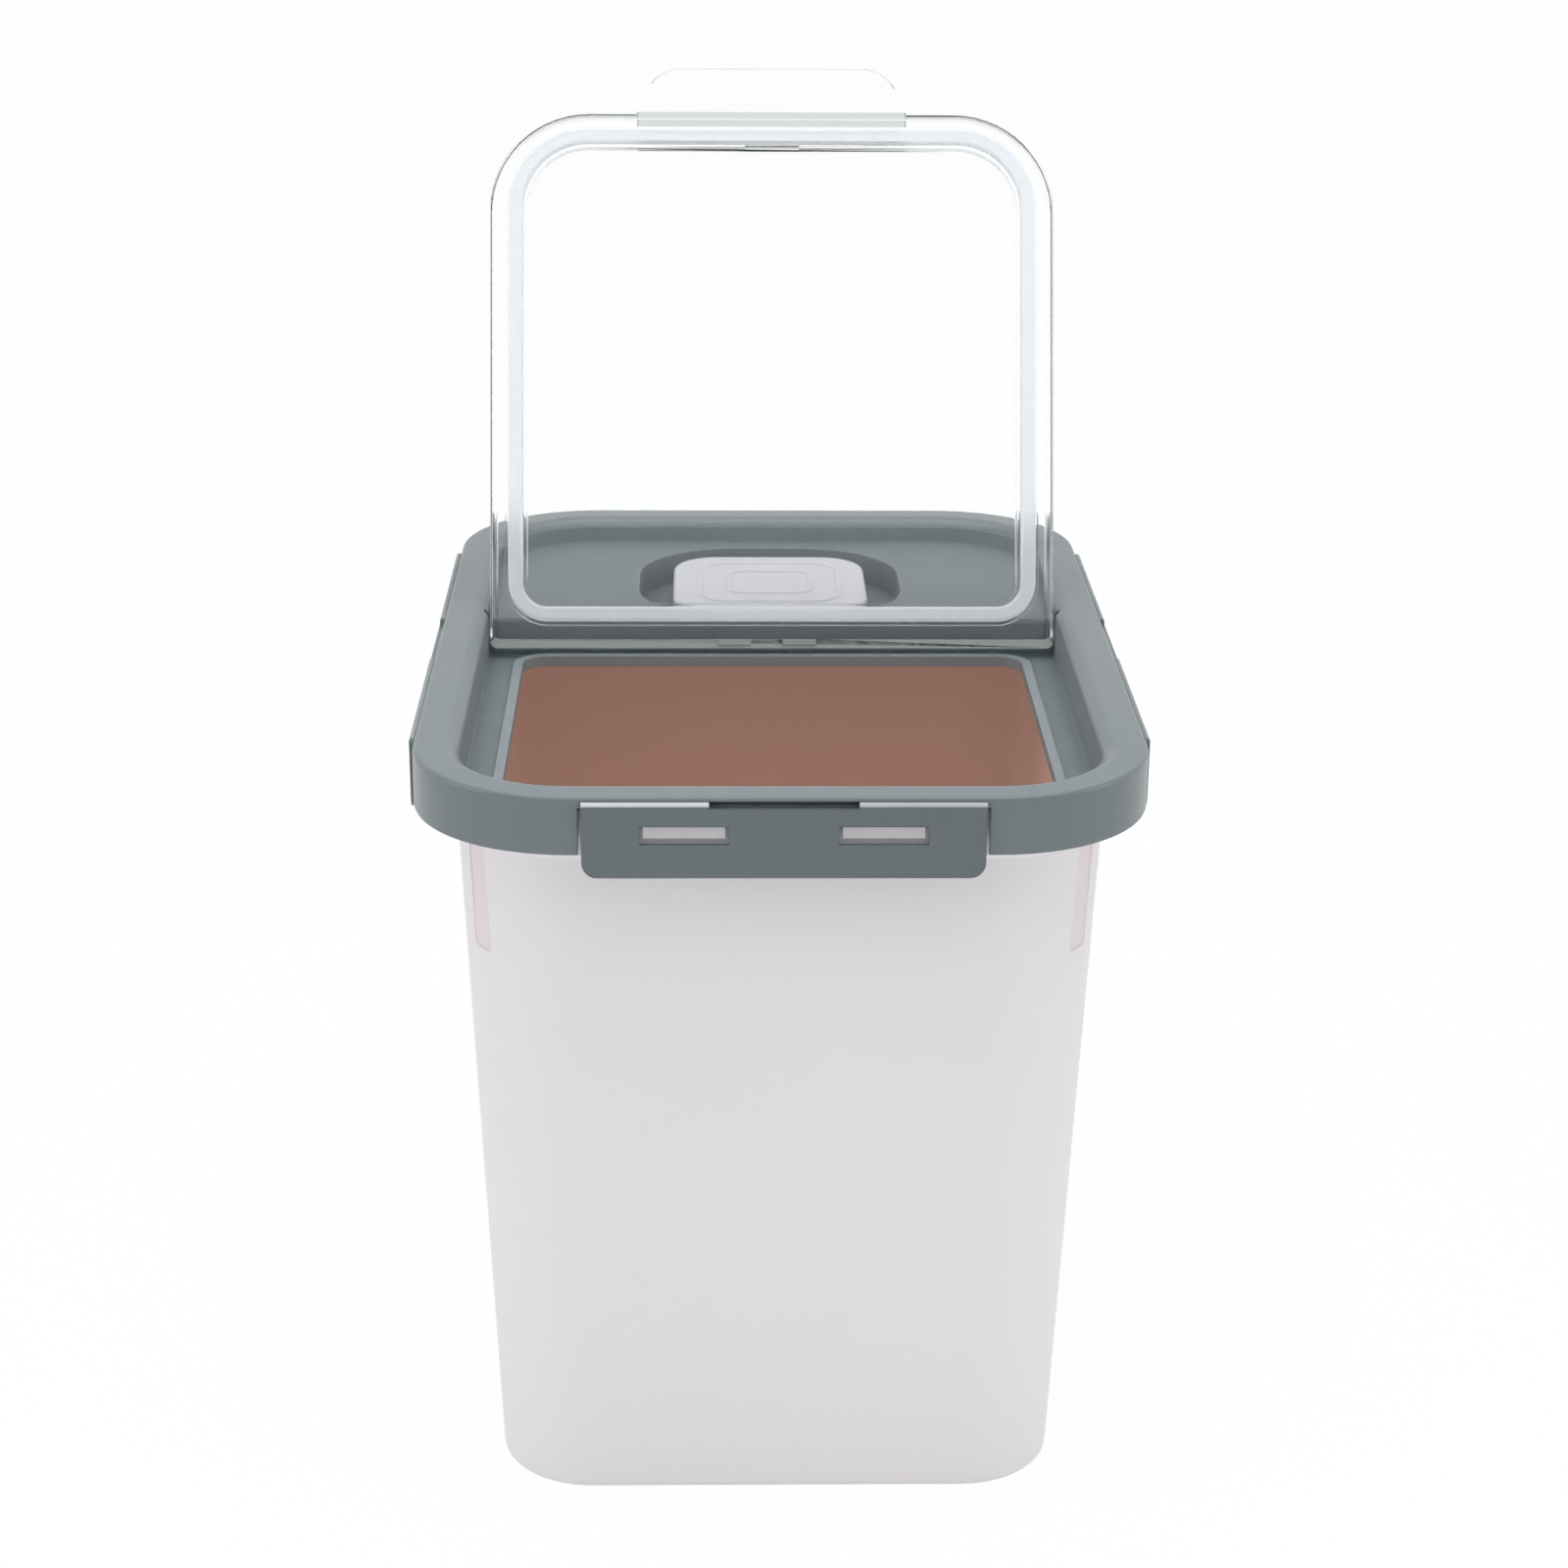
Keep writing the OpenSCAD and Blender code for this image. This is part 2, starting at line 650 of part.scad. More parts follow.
// Two ribs under the panel that hold the seal, with a break in the inner one at the front
module seal_channel() {
    play = 0.1;
    difference() {
        ring_sweep(seal_half, seal_y0, seal_y1, seal_r0, seal_rear_r)
            for (inset = [-play - seal_rib_t, seal_w + play])
                translate([inset, panel_under - seal_rib_h])
                    square([seal_rib_t, seal_rib_h + join]);
        translate([-seal_break / 2, seal_y0 + seal_w, panel_under - seal_rib_h - over])
            cube([seal_break, seal_rib_t + over, seal_rib_h + over]);
    }
}

// Points of the finger tab's outline, its edge moved in by m, from one base corner to the other
function tab_points(m) =
    let (y_base = lid_y0 + over, y_tip = lid_y0 - tab_len + m,
        base = snap_bar_w / 2 - m, tip = tab_tip_w / 2 - m, r = tab_corner - m,
        slope = atan((base - tip) / (tab_len - m)), steps = 6,
        half = [for (i = [0 : steps])
            let (a = (90 - slope) * i / steps)
            [tip - r * tan((90 - slope) / 2) + r * sin(a), y_tip + r * (1 - cos(a))]])
    concat(half, [[base, y_base], [-base, y_base]], [for (i = [steps : -1 : 0]) [-half[i][0], half[i][1]]]);

// Bar across the lid's front edge and the finger tab that it carries over the rim
module finger_tab() {
    thin = 0.8;
    translate([-snap_bar_w / 2, lid_y0, panel_top - join])
        cube([snap_bar_w, snap_bar_d, tab_top - panel_top + join]);
    difference() {
        translate([0, 0, tab_under]) linear_extrude(tab_t) polygon(tab_points(0));
        intersection() {
            translate([0, 0, tab_under - over]) linear_extrude(over + thin) polygon(tab_points(tab_border));
            translate([-half_w, lid_y0 - frame_d, 0]) cube([frame_w, frame_d, 2 * frame_top]);
        }
    }
}

// The flip lid in its closed place
module closed_lid() {
    lug_w = 12;
    lug_h = 1.6;
    lug_x = [-20, 4];
    ring_sweep(lid_half, lid_y0, lid_y1, lid_r0, lid_r1) flange_section(flange_t);
    plate(lid_half - flange_t / 2, lid_y0 + flange_t / 2, lid_y1 - flange_t / 2,
        lid_r0 - flange_t / 2, lid_r1 - flange_t / 2, panel_under, panel_top);
    translate([-lid_half + lid_r1, lid_y1 - rear_bar_t, flange_bottom])
        cube([2 * (lid_half - lid_r1), rear_bar_t - flange_t / 2, lid_top - flange_round - flange_bottom]);
    for (x = lug_x)
        translate([x, lid_y1 - rear_bar_t, flange_bottom - lug_h]) cube([lug_w, flange_t, lug_h + join]);
    seal_channel();
    finger_tab();
    for (side = [0, 1]) mirror([side, 0, 0])
        translate([lid_half - flange_t / 2, pin_y, pin_z]) rotate([0, 90, 0])
            cylinder(r = pin_r, h = socket_end - pin_end_gap - lid_half + flange_t / 2);
}

module flip_lid() {
    color(clear_colour) opened() closed_lid();
}

// Seal in the lid's channel; its lower edges are rounded
module lid_seal() {
    edge = 1.2;
    low = lip_top + seal_gap;
    color(seal_colour) opened() ring_sweep(seal_half, seal_y0, seal_y1, seal_r0, seal_rear_r) {
        translate([0, low + edge]) square([seal_w, panel_under - low - edge]);
        translate([edge, low]) square([seal_w - 2 * edge, edge + join]);
        translate([edge, low + edge]) circle(edge);
        translate([seal_w - edge, low + edge]) circle(edge);
    }
}

// A latch drawn for the front: plate, two lengths of hinge bead, and two slots for the catches
module latch(half, slot_x) {
    run = half - hinge_break / 2;
    bottom = latch_top - latch_h;
    break_top = latch_top - hinge_break_h;
    color(latch_colour) difference() {
        union() {
            translate([0, latch_t - latch_face, 0]) rotate([90, 0, 0]) linear_extrude(latch_t) {
                translate([-half, bottom + latch_corner])
                    square([2 * half, break_top - bottom - latch_corner]);
                translate([latch_corner - half, bottom])
                    square([2 * (half - latch_corner), latch_corner + join]);
                for (side = [-1, 1]) {
                    translate([side * (half - latch_corner), bottom + latch_corner]) circle(latch_corner);
                    translate([side * (half + hinge_break / 2) / 2 - run / 2, break_top - join])
                        square([run, hinge_z - break_top + join]);
                }
            }
            for (side = [-1, 1])
                translate([side * (half + hinge_break / 2) / 2 - run / 2, -bead_out, hinge_z])
                    rotate([0, 90, 0]) cylinder(r = bead_r, h = run);
        }
        for (x = [-slot_x, slot_x])
            translate([x - slot_w / 2, -latch_face - over, slot_z - slot_h / 2])
                cube([slot_w, latch_t + 2 * over, slot_h]);
    }
}

// Vent slots through the cup's bottom and its four sides
module vents() {
    half_x = cap_w / 2 - cup_in;
    half_y = cap_len / 2 - cup_in;
    pitch = 2 * vent_w;
    edge = 8;
    band = 3;
    low = cup_bottom + band;
    high = pocket_floor - band - low;
    for (step = [-3 : 3]) {
        translate([step * pitch - vent_w / 2, cap_y - half_y + edge, cup_bottom - over])
            cube([vent_w, 2 * (half_y - edge), cup_wall + 2 * over]);
        translate([step * pitch - vent_w / 2, cap_y - half_y - over, low])
            cube([vent_w, 2 * (half_y + over), high]);
        translate([-half_x - over, cap_y + step * pitch - vent_w / 2, low])
            cube([2 * (half_x + over), vent_w, high]);
    }
}

// Cup that hangs in the pocket's floor and holds the desiccant
module desiccant_cup() {
    color(cap_colour) difference() {
        union() {
            cup_plate(cup_flange_in, pocket_floor, flange_top);
            cup_plate(cup_in, cup_bottom, flange_top);
        }
        cup_plate(cup_in + cup_wall, cup_bottom + cup_wall, flange_top + over);
        vents();
    }
}

// Plate with the cap's outline, moved in by an inset
module cup_plate(inset, z0, z1) {
    plate(cap_w / 2 - inset, cap_y - cap_len / 2 + inset, cap_y + cap_len / 2 - inset,
        cap_corner - inset, cap_corner - inset, z0, z1);
}

// Sweep round the cap's outline, moved in by an inset
module cup_sweep(inset) {
    r = cap_corner - inset;
    ring_sweep(cap_w / 2 - inset, cap_y - cap_len / 2 + inset, cap_y + cap_len / 2 - inset, r, r) children();
}

// Flat raised ring on the cap with the cap's outline
module cap_ring(inset) {
    ring_w = 2;
    ring_h = 0.5;
    r = max(cap_corner - inset / 2, ring_w + over);
    difference() {
        plate(cap_w / 2 - inset, cap_y - cap_len / 2 + inset, cap_y + cap_len / 2 - inset, r, r,
            cap_top - ring_h, cap_top);
        plate(cap_w / 2 - inset - ring_w, cap_y - cap_len / 2 + inset + ring_w,
            cap_y + cap_len / 2 - inset - ring_w, r - ring_w, r - ring_w,
            cap_top - ring_h - over, cap_top + over);
    }
}

// White cap with a skirt that stands over the cup's flange and a plug that reaches into the cup
module desiccant_cap() {
    cap_round = 1.6;
    ring_rise = 0.4;
    face = cap_top - ring_rise;
    skirt_end = flange_top + cap_seat;
    plug_end = pocket_floor - plug_reach;
    color(cap_colour) union() {
        cup_sweep(0) {
            translate([0, skirt_end]) square([cup_wall, face - cap_round - skirt_end]);
            translate([cap_round, face - cup_wall]) square([2, cup_wall]);
            intersection() {
                translate([cap_round, face - cap_round]) circle(cap_round);
                translate([0, face - cap_round - touch]) square([cap_round + touch, cap_round + touch]);
            }
        }
        cup_plate(cap_round + 1, face - cup_wall, face);
        difference() {
            cup_plate(plug_in, plug_end, face - cup_wall / 2);
            cup_plate(plug_in + cup_wall, plug_end - over, face - cup_wall / 2 + over);
        }
        for (inset = [cap_ring_out, cap_ring_in]) cap_ring(inset);
    }
}

// Seal round the cap's plug
module cap_seal() {
    seal_h = 3;
    above_end = 0.6;
    play = 0.05;
    color(seal_colour) cup_sweep(plug_in - seal_band)
        translate([0, pocket_floor - plug_reach + above_end]) square([seal_band - play, seal_h]);
}

tub();
lid_frame();
frame_seal();
flip_lid();
lid_seal();
on_front() latch(front_latch_half, front_slot_x);  // front_latch
on_rear() latch(front_latch_half, front_slot_x);  // rear_latch
on_left() latch(side_latch_half, side_slot_x);  // left_latch
on_right() latch(side_latch_half, side_slot_x);  // right_latch
desiccant_cup();
desiccant_cap();
cap_seal();
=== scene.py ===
# %% [markdown]
# # Rice bin with a flip lid
# The bin is a handful of plastic mouldings: a white tub, a blue-grey lid frame with four
# latches, a clear flip lid with a milky seal, and a white desiccant cap on the rear deck.
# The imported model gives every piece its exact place. This lesson gives each one the small
# rounds, the fine surface and the gloss that make moulded plastic look like plastic.

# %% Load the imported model
import math

import bmesh
import bpy
from mathutils import Matrix, Vector


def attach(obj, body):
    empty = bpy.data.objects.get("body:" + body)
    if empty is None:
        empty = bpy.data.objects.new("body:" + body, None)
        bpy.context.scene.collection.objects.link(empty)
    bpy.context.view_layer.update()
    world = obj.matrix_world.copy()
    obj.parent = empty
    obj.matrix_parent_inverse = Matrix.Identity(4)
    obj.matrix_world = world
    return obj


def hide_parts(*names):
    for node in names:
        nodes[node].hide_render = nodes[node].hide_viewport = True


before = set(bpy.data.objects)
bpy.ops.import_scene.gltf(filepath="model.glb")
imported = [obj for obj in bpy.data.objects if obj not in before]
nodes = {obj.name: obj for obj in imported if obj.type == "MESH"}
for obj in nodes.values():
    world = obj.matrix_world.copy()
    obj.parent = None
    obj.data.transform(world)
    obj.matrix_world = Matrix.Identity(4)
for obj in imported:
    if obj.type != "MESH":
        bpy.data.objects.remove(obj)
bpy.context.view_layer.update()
MM = 0.001

# %% [markdown]
# ## Camera
# The photograph looks down at the bin by about 20 degrees and stands a hair to the left of
# straight on. The aim, the distance and the lens come from fitting the rim's outline, the
# opening and the open lid to what the photograph shows. A lens of about 75 mm on a 36 mm
# sensor is what a product photographer would pick, because it keeps the sides nearly straight.

# %% Set the camera
CAMERA_AIM = Vector((0, 0, 0.206))
CAMERA_DISTANCE = 1.204
CAMERA_AZIMUTH = math.radians(-1.2)
CAMERA_ELEVATION = math.radians(20)
CAMERA_ROLL = math.radians(0.4)
CAMERA_SENSOR, CAMERA_LENS = 36, 75.5  # mm
CAMERA_SHIFT = 0.007

camera_data = bpy.data.cameras.new("camera")
camera_data.sensor_width = CAMERA_SENSOR
camera_data.lens = CAMERA_LENS
camera_data.shift_x = CAMERA_SHIFT
camera = bpy.data.objects.new("camera", camera_data)
bpy.context.scene.collection.objects.link(camera)
back = Vector((
    math.sin(CAMERA_AZIMUTH) * math.cos(CAMERA_ELEVATION),
    -math.cos(CAMERA_AZIMUTH) * math.cos(CAMERA_ELEVATION),
    math.sin(CAMERA_ELEVATION),
))
camera.location = CAMERA_AIM + back * CAMERA_DISTANCE
camera.rotation_mode = "QUATERNION"
turn = (-back).to_track_quat("-Z", "Y").to_matrix() @ Matrix.Rotation(CAMERA_ROLL, 3, "Z")
camera.rotation_quaternion = turn.to_quaternion()
bpy.context.scene.camera = camera
print("camera at, m:", [round(v, 4) for v in camera.location])

# %% [markdown]
# ## Studio
# The bin stands on a pale floor in front of white. One large soft lamp above, weaker ones in
# front and at both sides and an even world give the soft light of the photograph. What the
# camera sees as white comes from Light Path, so no extra light falls on the object. Mirror
# images show the front half of the room a little darker, as in a real studio with a person and
# a camera in it, so that the clear lid doesn't look milky.

# %% Colour management and world
scene = bpy.context.scene
scene.view_settings.view_transform = "Standard"
world = bpy.data.worlds.new("studio")
scene.world = world
world.use_nodes = True
WORLD_LIGHT = 0.5
ROOM_FRONT, ROOM_BACK = -0.5, 0.1  # directions along Y between which the room turns lighter
ROOM_DARK = 0.65


def set_range(node, low, high, new_low, new_high):
    """Let a Map Range node turn low to high into new_low to new_high."""
    node.inputs["From Min"].default_value = low
    node.inputs["From Max"].default_value = high
    node.inputs["To Min"].default_value = new_low
    node.inputs["To Max"].default_value = new_high


def seen_directly(tree):
    """1 where a ray comes from the camera, a mirror or clear plastic, else 0."""
    rays = tree.nodes.new("ShaderNodeLightPath")
    total = rays.outputs["Is Camera Ray"]
    for kind in ("Is Glossy Ray", "Is Transmission Ray"):
        either = tree.nodes.new("ShaderNodeMath")
        either.operation = "ADD"
        either.use_clamp = True
        tree.links.new(total, either.inputs[0])
        tree.links.new(rays.outputs[kind], either.inputs[1])
        total = either.outputs[0]
    return total


tree = world.node_tree
tree.nodes.clear()
world_out = tree.nodes.new("ShaderNodeOutputWorld")
light_sky = tree.nodes.new("ShaderNodeBackground")
light_sky.inputs["Color"].default_value = (1, 1, 1, 1)
light_sky.inputs["Strength"].default_value = WORLD_LIGHT
seen_sky = tree.nodes.new("ShaderNodeBackground")
seen_sky.inputs["Color"].default_value = (1, 1, 1, 1)
sky_place = tree.nodes.new("ShaderNodeTexCoord")
sky_axes = tree.nodes.new("ShaderNodeSeparateXYZ")
tree.links.new(sky_place.outputs["Generated"], sky_axes.inputs["Vector"])
room = tree.nodes.new("ShaderNodeMapRange")
set_range(room, ROOM_FRONT, ROOM_BACK, ROOM_DARK, 1)
tree.links.new(sky_axes.outputs["Y"], room.inputs["Value"])
mirror_rays = tree.nodes.new("ShaderNodeLightPath")
room_share = tree.nodes.new("ShaderNodeMix")
room_share.data_type = "FLOAT"
room_share.inputs["A"].default_value = 1
tree.links.new(mirror_rays.outputs["Is Glossy Ray"], room_share.inputs["Factor"])
tree.links.new(room.outputs["Result"], room_share.inputs["B"])
tree.links.new(room_share.outputs["Result"], seen_sky.inputs["Strength"])
sky_mix = tree.nodes.new("ShaderNodeMixShader")
tree.links.new(seen_directly(tree), sky_mix.inputs["Fac"])
tree.links.new(light_sky.outputs[0], sky_mix.inputs[1])
tree.links.new(seen_sky.outputs[0], sky_mix.inputs[2])
tree.links.new(sky_mix.outputs[0], world_out.inputs["Surface"])
print("world light:", WORLD_LIGHT)

# %% Floor
FLOOR_GLOW = 0.97
bpy.ops.mesh.primitive_plane_add(size=14, location=(0, 0, 0))
floor = bpy.context.object
floor.name = "floor"
floor_material = bpy.data.materials.new("floor")
floor.data.materials.append(floor_material)
floor_material.use_nodes = True
tree = floor_material.node_tree
tree.nodes.clear()
floor_out = tree.nodes.new("ShaderNodeOutputMaterial")
matte = tree.nodes.new("ShaderNodeBsdfDiffuse")
matte.inputs["Color"].default_value = (0.9, 0.9, 0.9, 1)
glow = tree.nodes.new("ShaderNodeEmission")
glow.inputs["Color"].default_value = (1, 1, 1, 1)
share = tree.nodes.new("ShaderNodeMath")
share.operation = "MULTIPLY"
share.inputs[1].default_value = FLOOR_GLOW
floor_mix = tree.nodes.new("ShaderNodeMixShader")
tree.links.new(seen_directly(tree), share.inputs[0])
tree.links.new(share.outputs[0], floor_mix.inputs["Fac"])
tree.links.new(matte.outputs[0], floor_mix.inputs[1])
tree.links.new(glow.outputs[0], floor_mix.inputs[2])
tree.links.new(floor_mix.outputs[0], floor_out.inputs["Surface"])
print("floor glow:", FLOOR_GLOW)


# %% Lamps
def soft_lamp(name, place, size, watts, aim=(0, 0, 0.2), spread=180):
    """A square area lamp that looks at a point of the object."""
    data = bpy.data.lights.new(name, "AREA")
    data.shape = "SQUARE"
    data.size = size
    data.energy = watts
    data.spread = math.radians(spread)
    lamp = bpy.data.objects.new(name, data)
    scene.collection.objects.link(lamp)
    lamp.location = place
    lamp.rotation_mode = "QUATERNION"
    lamp.rotation_quaternion = (Vector(aim) - Vector(place)).to_track_quat("-Z", "Y")
    print("lamp", name, watts, "W")
    return lamp


soft_lamp("lamp_above", (0.0, 0.1, 1.9), 1.6, 17)
soft_lamp("lamp_front", (-0.3, -2.0, 1.1), 1.4, 3)
soft_lamp("lamp_floor", (0.0, -1.0, 1.2), 0.8, 1.3, aim=(0, -0.8, 0), spread=70)
soft_lamp("lamp_left", (-1.9, -0.4, 0.9), 1.2, 7)
soft_lamp("lamp_right", (1.9, -0.4, 0.9), 1.2, 7)


# %% [markdown]
# ## Surface effects
# Moulded plastic is never one flat colour. It has a fine grain from the mould's steel, slow
# changes of tone where the melt flowed, and faint rubs from handling. These three effects are
# built once, as a node group, and every material places it with its own values.

# %% Node group: moulded surface
def new_group(name, inputs, outputs):
    """Shader node group with named sockets; returns the tree with its in and out nodes."""
    made = bpy.data.node_groups.new(name, "ShaderNodeTree")
    for label, kind, value in inputs:
        socket = made.interface.new_socket(name=label, in_out="INPUT", socket_type=kind)
        socket.default_value = value
    for label, kind in outputs:
        made.interface.new_socket(name=label, in_out="OUTPUT", socket_type=kind)
    return made, made.nodes.new("NodeGroupInput"), made.nodes.new("NodeGroupOutput")


FLOAT, COLOR = "NodeSocketFloat", "NodeSocketColor"
moulded, g_in, g_out = new_group(
    "moulded surface",
    [
        ("Color", COLOR, (0.8, 0.8, 0.8, 1)),
        ("Tone", FLOAT, 0.04),
        ("Roughness", FLOAT, 0.4),
        ("Rub", FLOAT, 0.08),
    ],
    [("Color", COLOR), ("Roughness", FLOAT), ("Height", FLOAT)],
)
link = moulded.links.new
place = moulded.nodes.new("ShaderNodeTexCoord")


def noise(scale, detail):
    """Noise on Object coordinates, so that it stays on the piece."""
    made = moulded.nodes.new("ShaderNodeTexNoise")
    made.inputs["Scale"].default_value = scale
    made.inputs["Detail"].default_value = detail
    link(place.outputs["Object"], made.inputs["Vector"])
    return made


def swing(source, low, high, amount):
    """Noise from low to high, turned into -0.5 to 0.5, times an amount, plus a base."""
    spread = moulded.nodes.new("ShaderNodeMapRange")
    set_range(spread, low, high, -0.5, 0.5)
    link(source.outputs["Fac"], spread.inputs["Value"])
    scaled = moulded.nodes.new("ShaderNodeMath")
    scaled.operation = "MULTIPLY_ADD"
    link(spread.outputs["Result"], scaled.inputs[0])
    link(g_in.outputs[amount], scaled.inputs[1])
    return scaled


# %% Group: slow changes of tone, rubs from handling, and the grain of the mould's steel
TONE_SIZE, RUB_SIZE, GRAIN_SIZE = 7, 38, 1400  # noise scales: a higher one is finer
tone_scale = swing(noise(TONE_SIZE, 3), 0.3, 0.7, "Tone")
tone_scale.inputs[2].default_value = 1
toned = moulded.nodes.new("ShaderNodeVectorMath")
toned.operation = "SCALE"
link(g_in.outputs["Color"], toned.inputs[0])
link(tone_scale.outputs[0], toned.inputs["Scale"])
link(toned.outputs[0], g_out.inputs["Color"])
rub = noise(RUB_SIZE, 6)
rub.inputs["Roughness"].default_value = 0.65
rub_scale = swing(rub, 0.35, 0.65, "Rub")
link(g_in.outputs["Roughness"], rub_scale.inputs[2])
link(rub_scale.outputs[0], g_out.inputs["Roughness"])
link(noise(GRAIN_SIZE, 2).outputs["Fac"], g_out.inputs["Height"])
print("group:", moulded.name, "with", len(moulded.nodes), "nodes")


# %% [markdown]
# ## Materials
# The colours below are the plastics' own colours, a little brighter or duller than they look
# in the picture, because light adds to them, except where light and shade are painted. Some
# mouldings get more than one finish, where the photograph shows one plastic in several tones:
# the tub's inside gets a painted brown shade and a painted glow for the light that passes its
# wall, its grooves and catches get painted shade, the frame's walls and lip are painted lighter
# as painted light, its hinge grooves are painted near black as painted shade, the latches' beads
# add a painted highlight to their whitening, and the lid's rear bar is paler as a painted
# highlight.

# %% Solid plastics
GRAIN_DEPTH = 0.0004  # metres
PLASTIC_IOR = 1.49


def plastic(name, colour, roughness, tone=0.04, rub=0.08, bump=0.01):
    """Moulded plastic: the group feeds colour, roughness and bump of one Principled shader."""
    made = bpy.data.materials.new(name)
    made.use_nodes = True
    tree = made.node_tree
    shader = tree.nodes["Principled BSDF"]
    surface = tree.nodes.new("ShaderNodeGroup")
    surface.node_tree = moulded
    surface.inputs["Color"].default_value = (*colour, 1)
    surface.inputs["Tone"].default_value = tone
    surface.inputs["Roughness"].default_value = roughness
    surface.inputs["Rub"].default_value = rub
    relief = tree.nodes.new("ShaderNodeBump")
    relief.inputs["Strength"].default_value = bump
    relief.inputs["Distance"].default_value = GRAIN_DEPTH
    tree.links.new(surface.outputs["Color"], shader.inputs["Base Color"])
    tree.links.new(surface.outputs["Roughness"], shader.inputs["Roughness"])
    tree.links.new(surface.outputs["Height"], relief.inputs["Height"])
    tree.links.new(relief.outputs["Normal"], shader.inputs["Normal"])
    shader.inputs["IOR"].default_value = PLASTIC_IOR
    print("material", name, [round(c, 3) for c in colour])
    return made


def add_painted_glow(material, colour):
    """Painted glow: emission that stands in for light the plastic passes on or scatters; it is the
    same all over the surface.
    """
    shader = material.node_tree.nodes["Principled BSDF"]
    shader.inputs["Emission Color"].default_value = (*colour, 1)
    shader.inputs["Emission Strength"].default_value = 1


tub_white = plastic("tub white", (0.79, 0.765, 0.785), 0.38, tone=0.02)
# painted shade and glow: the inside's brown and its emission stand in for light through the wall
tub_inside_painted_shade_and_glow = plastic("tub inside painted shade and glow", (0.55, 0.36, 0.3), 0.42, tone=0.05)
add_painted_glow(tub_inside_painted_shade_and_glow, (0.118, 0.08, 0.066))
# painted shade: the grooves' darker pinkish tone stands in for light through their thinner wall
tub_groove_painted_shade = plastic("tub groove painted shade", (0.77, 0.69, 0.715), 0.42, tone=0.02)
frame_grey = plastic("frame grey", (0.149, 0.18, 0.193), 0.3, rub=0.03, bump=0.004)
deck_grey = plastic("deck grey", (0.157, 0.189, 0.203), 0.52, rub=0.06, bump=0.007)
# painted shade: near black for the deep shade inside the hinge grooves behind the latches
groove_painted_shade = plastic("groove painted shade", (0.012, 0.014, 0.016), 0.6, tone=0.1)
latch_grey = plastic("latch grey", (0.118, 0.144, 0.156), 0.33, tone=0.05, rub=0.03, bump=0.004)
# painted light: the frame's walls and lip, lighter than the frame for the light they catch
wall_painted_light = plastic("wall painted light", (0.225, 0.262, 0.28), 0.45, tone=0.05, rub=0.05)
# painted shade: the catches are tub plastic, greyed for the shade behind the latch plates
catch_painted_shade = plastic("catch painted shade", (0.5, 0.49, 0.51), 0.4, tone=0.1)
# bead finishes: real whitening from bending plus a painted highlight, and a painted-shade copy for
# the sides
hinge_whitening_and_highlight = plastic("hinge whitening and highlight", (0.42, 0.45, 0.46), 0.45, tone=0.8, rub=0.1)
hinge_side_whitening_and_shade = plastic("hinge side whitening and shade", (0.22, 0.25, 0.26), 0.5, tone=0.6, rub=0.1)
cap_white = plastic("cap white", (0.64, 0.635, 0.665), 0.34, tone=0.02)


# %% Clear and milky plastics: a low index keeps the thin lid from mirroring too much
def clear(name, colour, roughness, ior=1.3, share=1.0):
    """See-through plastic with faint rubs in its gloss."""
    made = plastic(name, colour, roughness, tone=0.01, rub=0.02, bump=0.004)
    shader = made.node_tree.nodes["Principled BSDF"]
    shader.inputs["Transmission Weight"].default_value = share
    shader.inputs["IOR"].default_value = ior
    return made


lid_clear = clear("lid clear", (0.985, 0.995, 0.992), 0.01)
lid_edge = clear("lid edge", (0.45, 0.53, 0.51), 0.03, ior=1.4)
# painted highlight: the rear bar is paler and partly frosted, standing in for its bright
# refraction line
lid_rear_painted_highlight = clear("lid rear painted highlight", (0.78, 0.86, 0.83), 0.15, share=0.6)
# painted glow: emission stands in for the light that the silicone scatters
seal_milky_painted_glow = clear("seal milky painted glow", (0.97, 0.985, 1.0), 0.3, share=0.6)
add_painted_glow(seal_milky_painted_glow, (0.055, 0.065, 0.08))
seal_dull = clear("seal dull", (0.8, 0.82, 0.84), 0.35, share=0.5)


# %% [markdown]
# ## Faces and finishes
# One moulding can show several finishes, such as gloss on a rim and a fine matte texture in a
# recess. The faces could be picked by hand in the viewport. Here a small test on each face's
# middle and direction, in mm, picks them, so that the choice can be read and changed.

# %% Helper: pick faces
def pick(piece, wanted):
    """In edit mode, select only the faces that wanted(centre, normal) accepts; say how many."""
    bpy.ops.mesh.select_mode(type="FACE")
    bpy.ops.mesh.select_all(action="DESELECT")
    shape = bmesh.from_edit_mesh(piece.data)
    found = 0
    for face in shape.faces:
        if wanted(face.calc_center_median() / MM, face.normal):
            face.select_set(True)
            found += 1
    bmesh.update_edit_mesh(piece.data)
    return found


# %% Helper: give picked faces another finish
def refinish(piece, index, wanted):
    """Move the wanted faces of a piece to another of its material slots."""
    bpy.context.view_layer.objects.active = piece
    bpy.ops.object.mode_set(mode="EDIT")
    found = pick(piece, wanted)
    piece.active_material_index = index
    bpy.ops.object.material_slot_assign()
    bpy.ops.object.mode_set(mode="OBJECT")
    print(piece.name, found, "faces in", piece.material_slots[index].material.name)


# %% Helper: smooth a piece and hand it over
SMOOTH_BELOW = 40  # degrees between faces
FLATS_LEAD = 80  # above 50, the larger faces decide a shared normal
SAME_AREA = 1e-7  # square metres


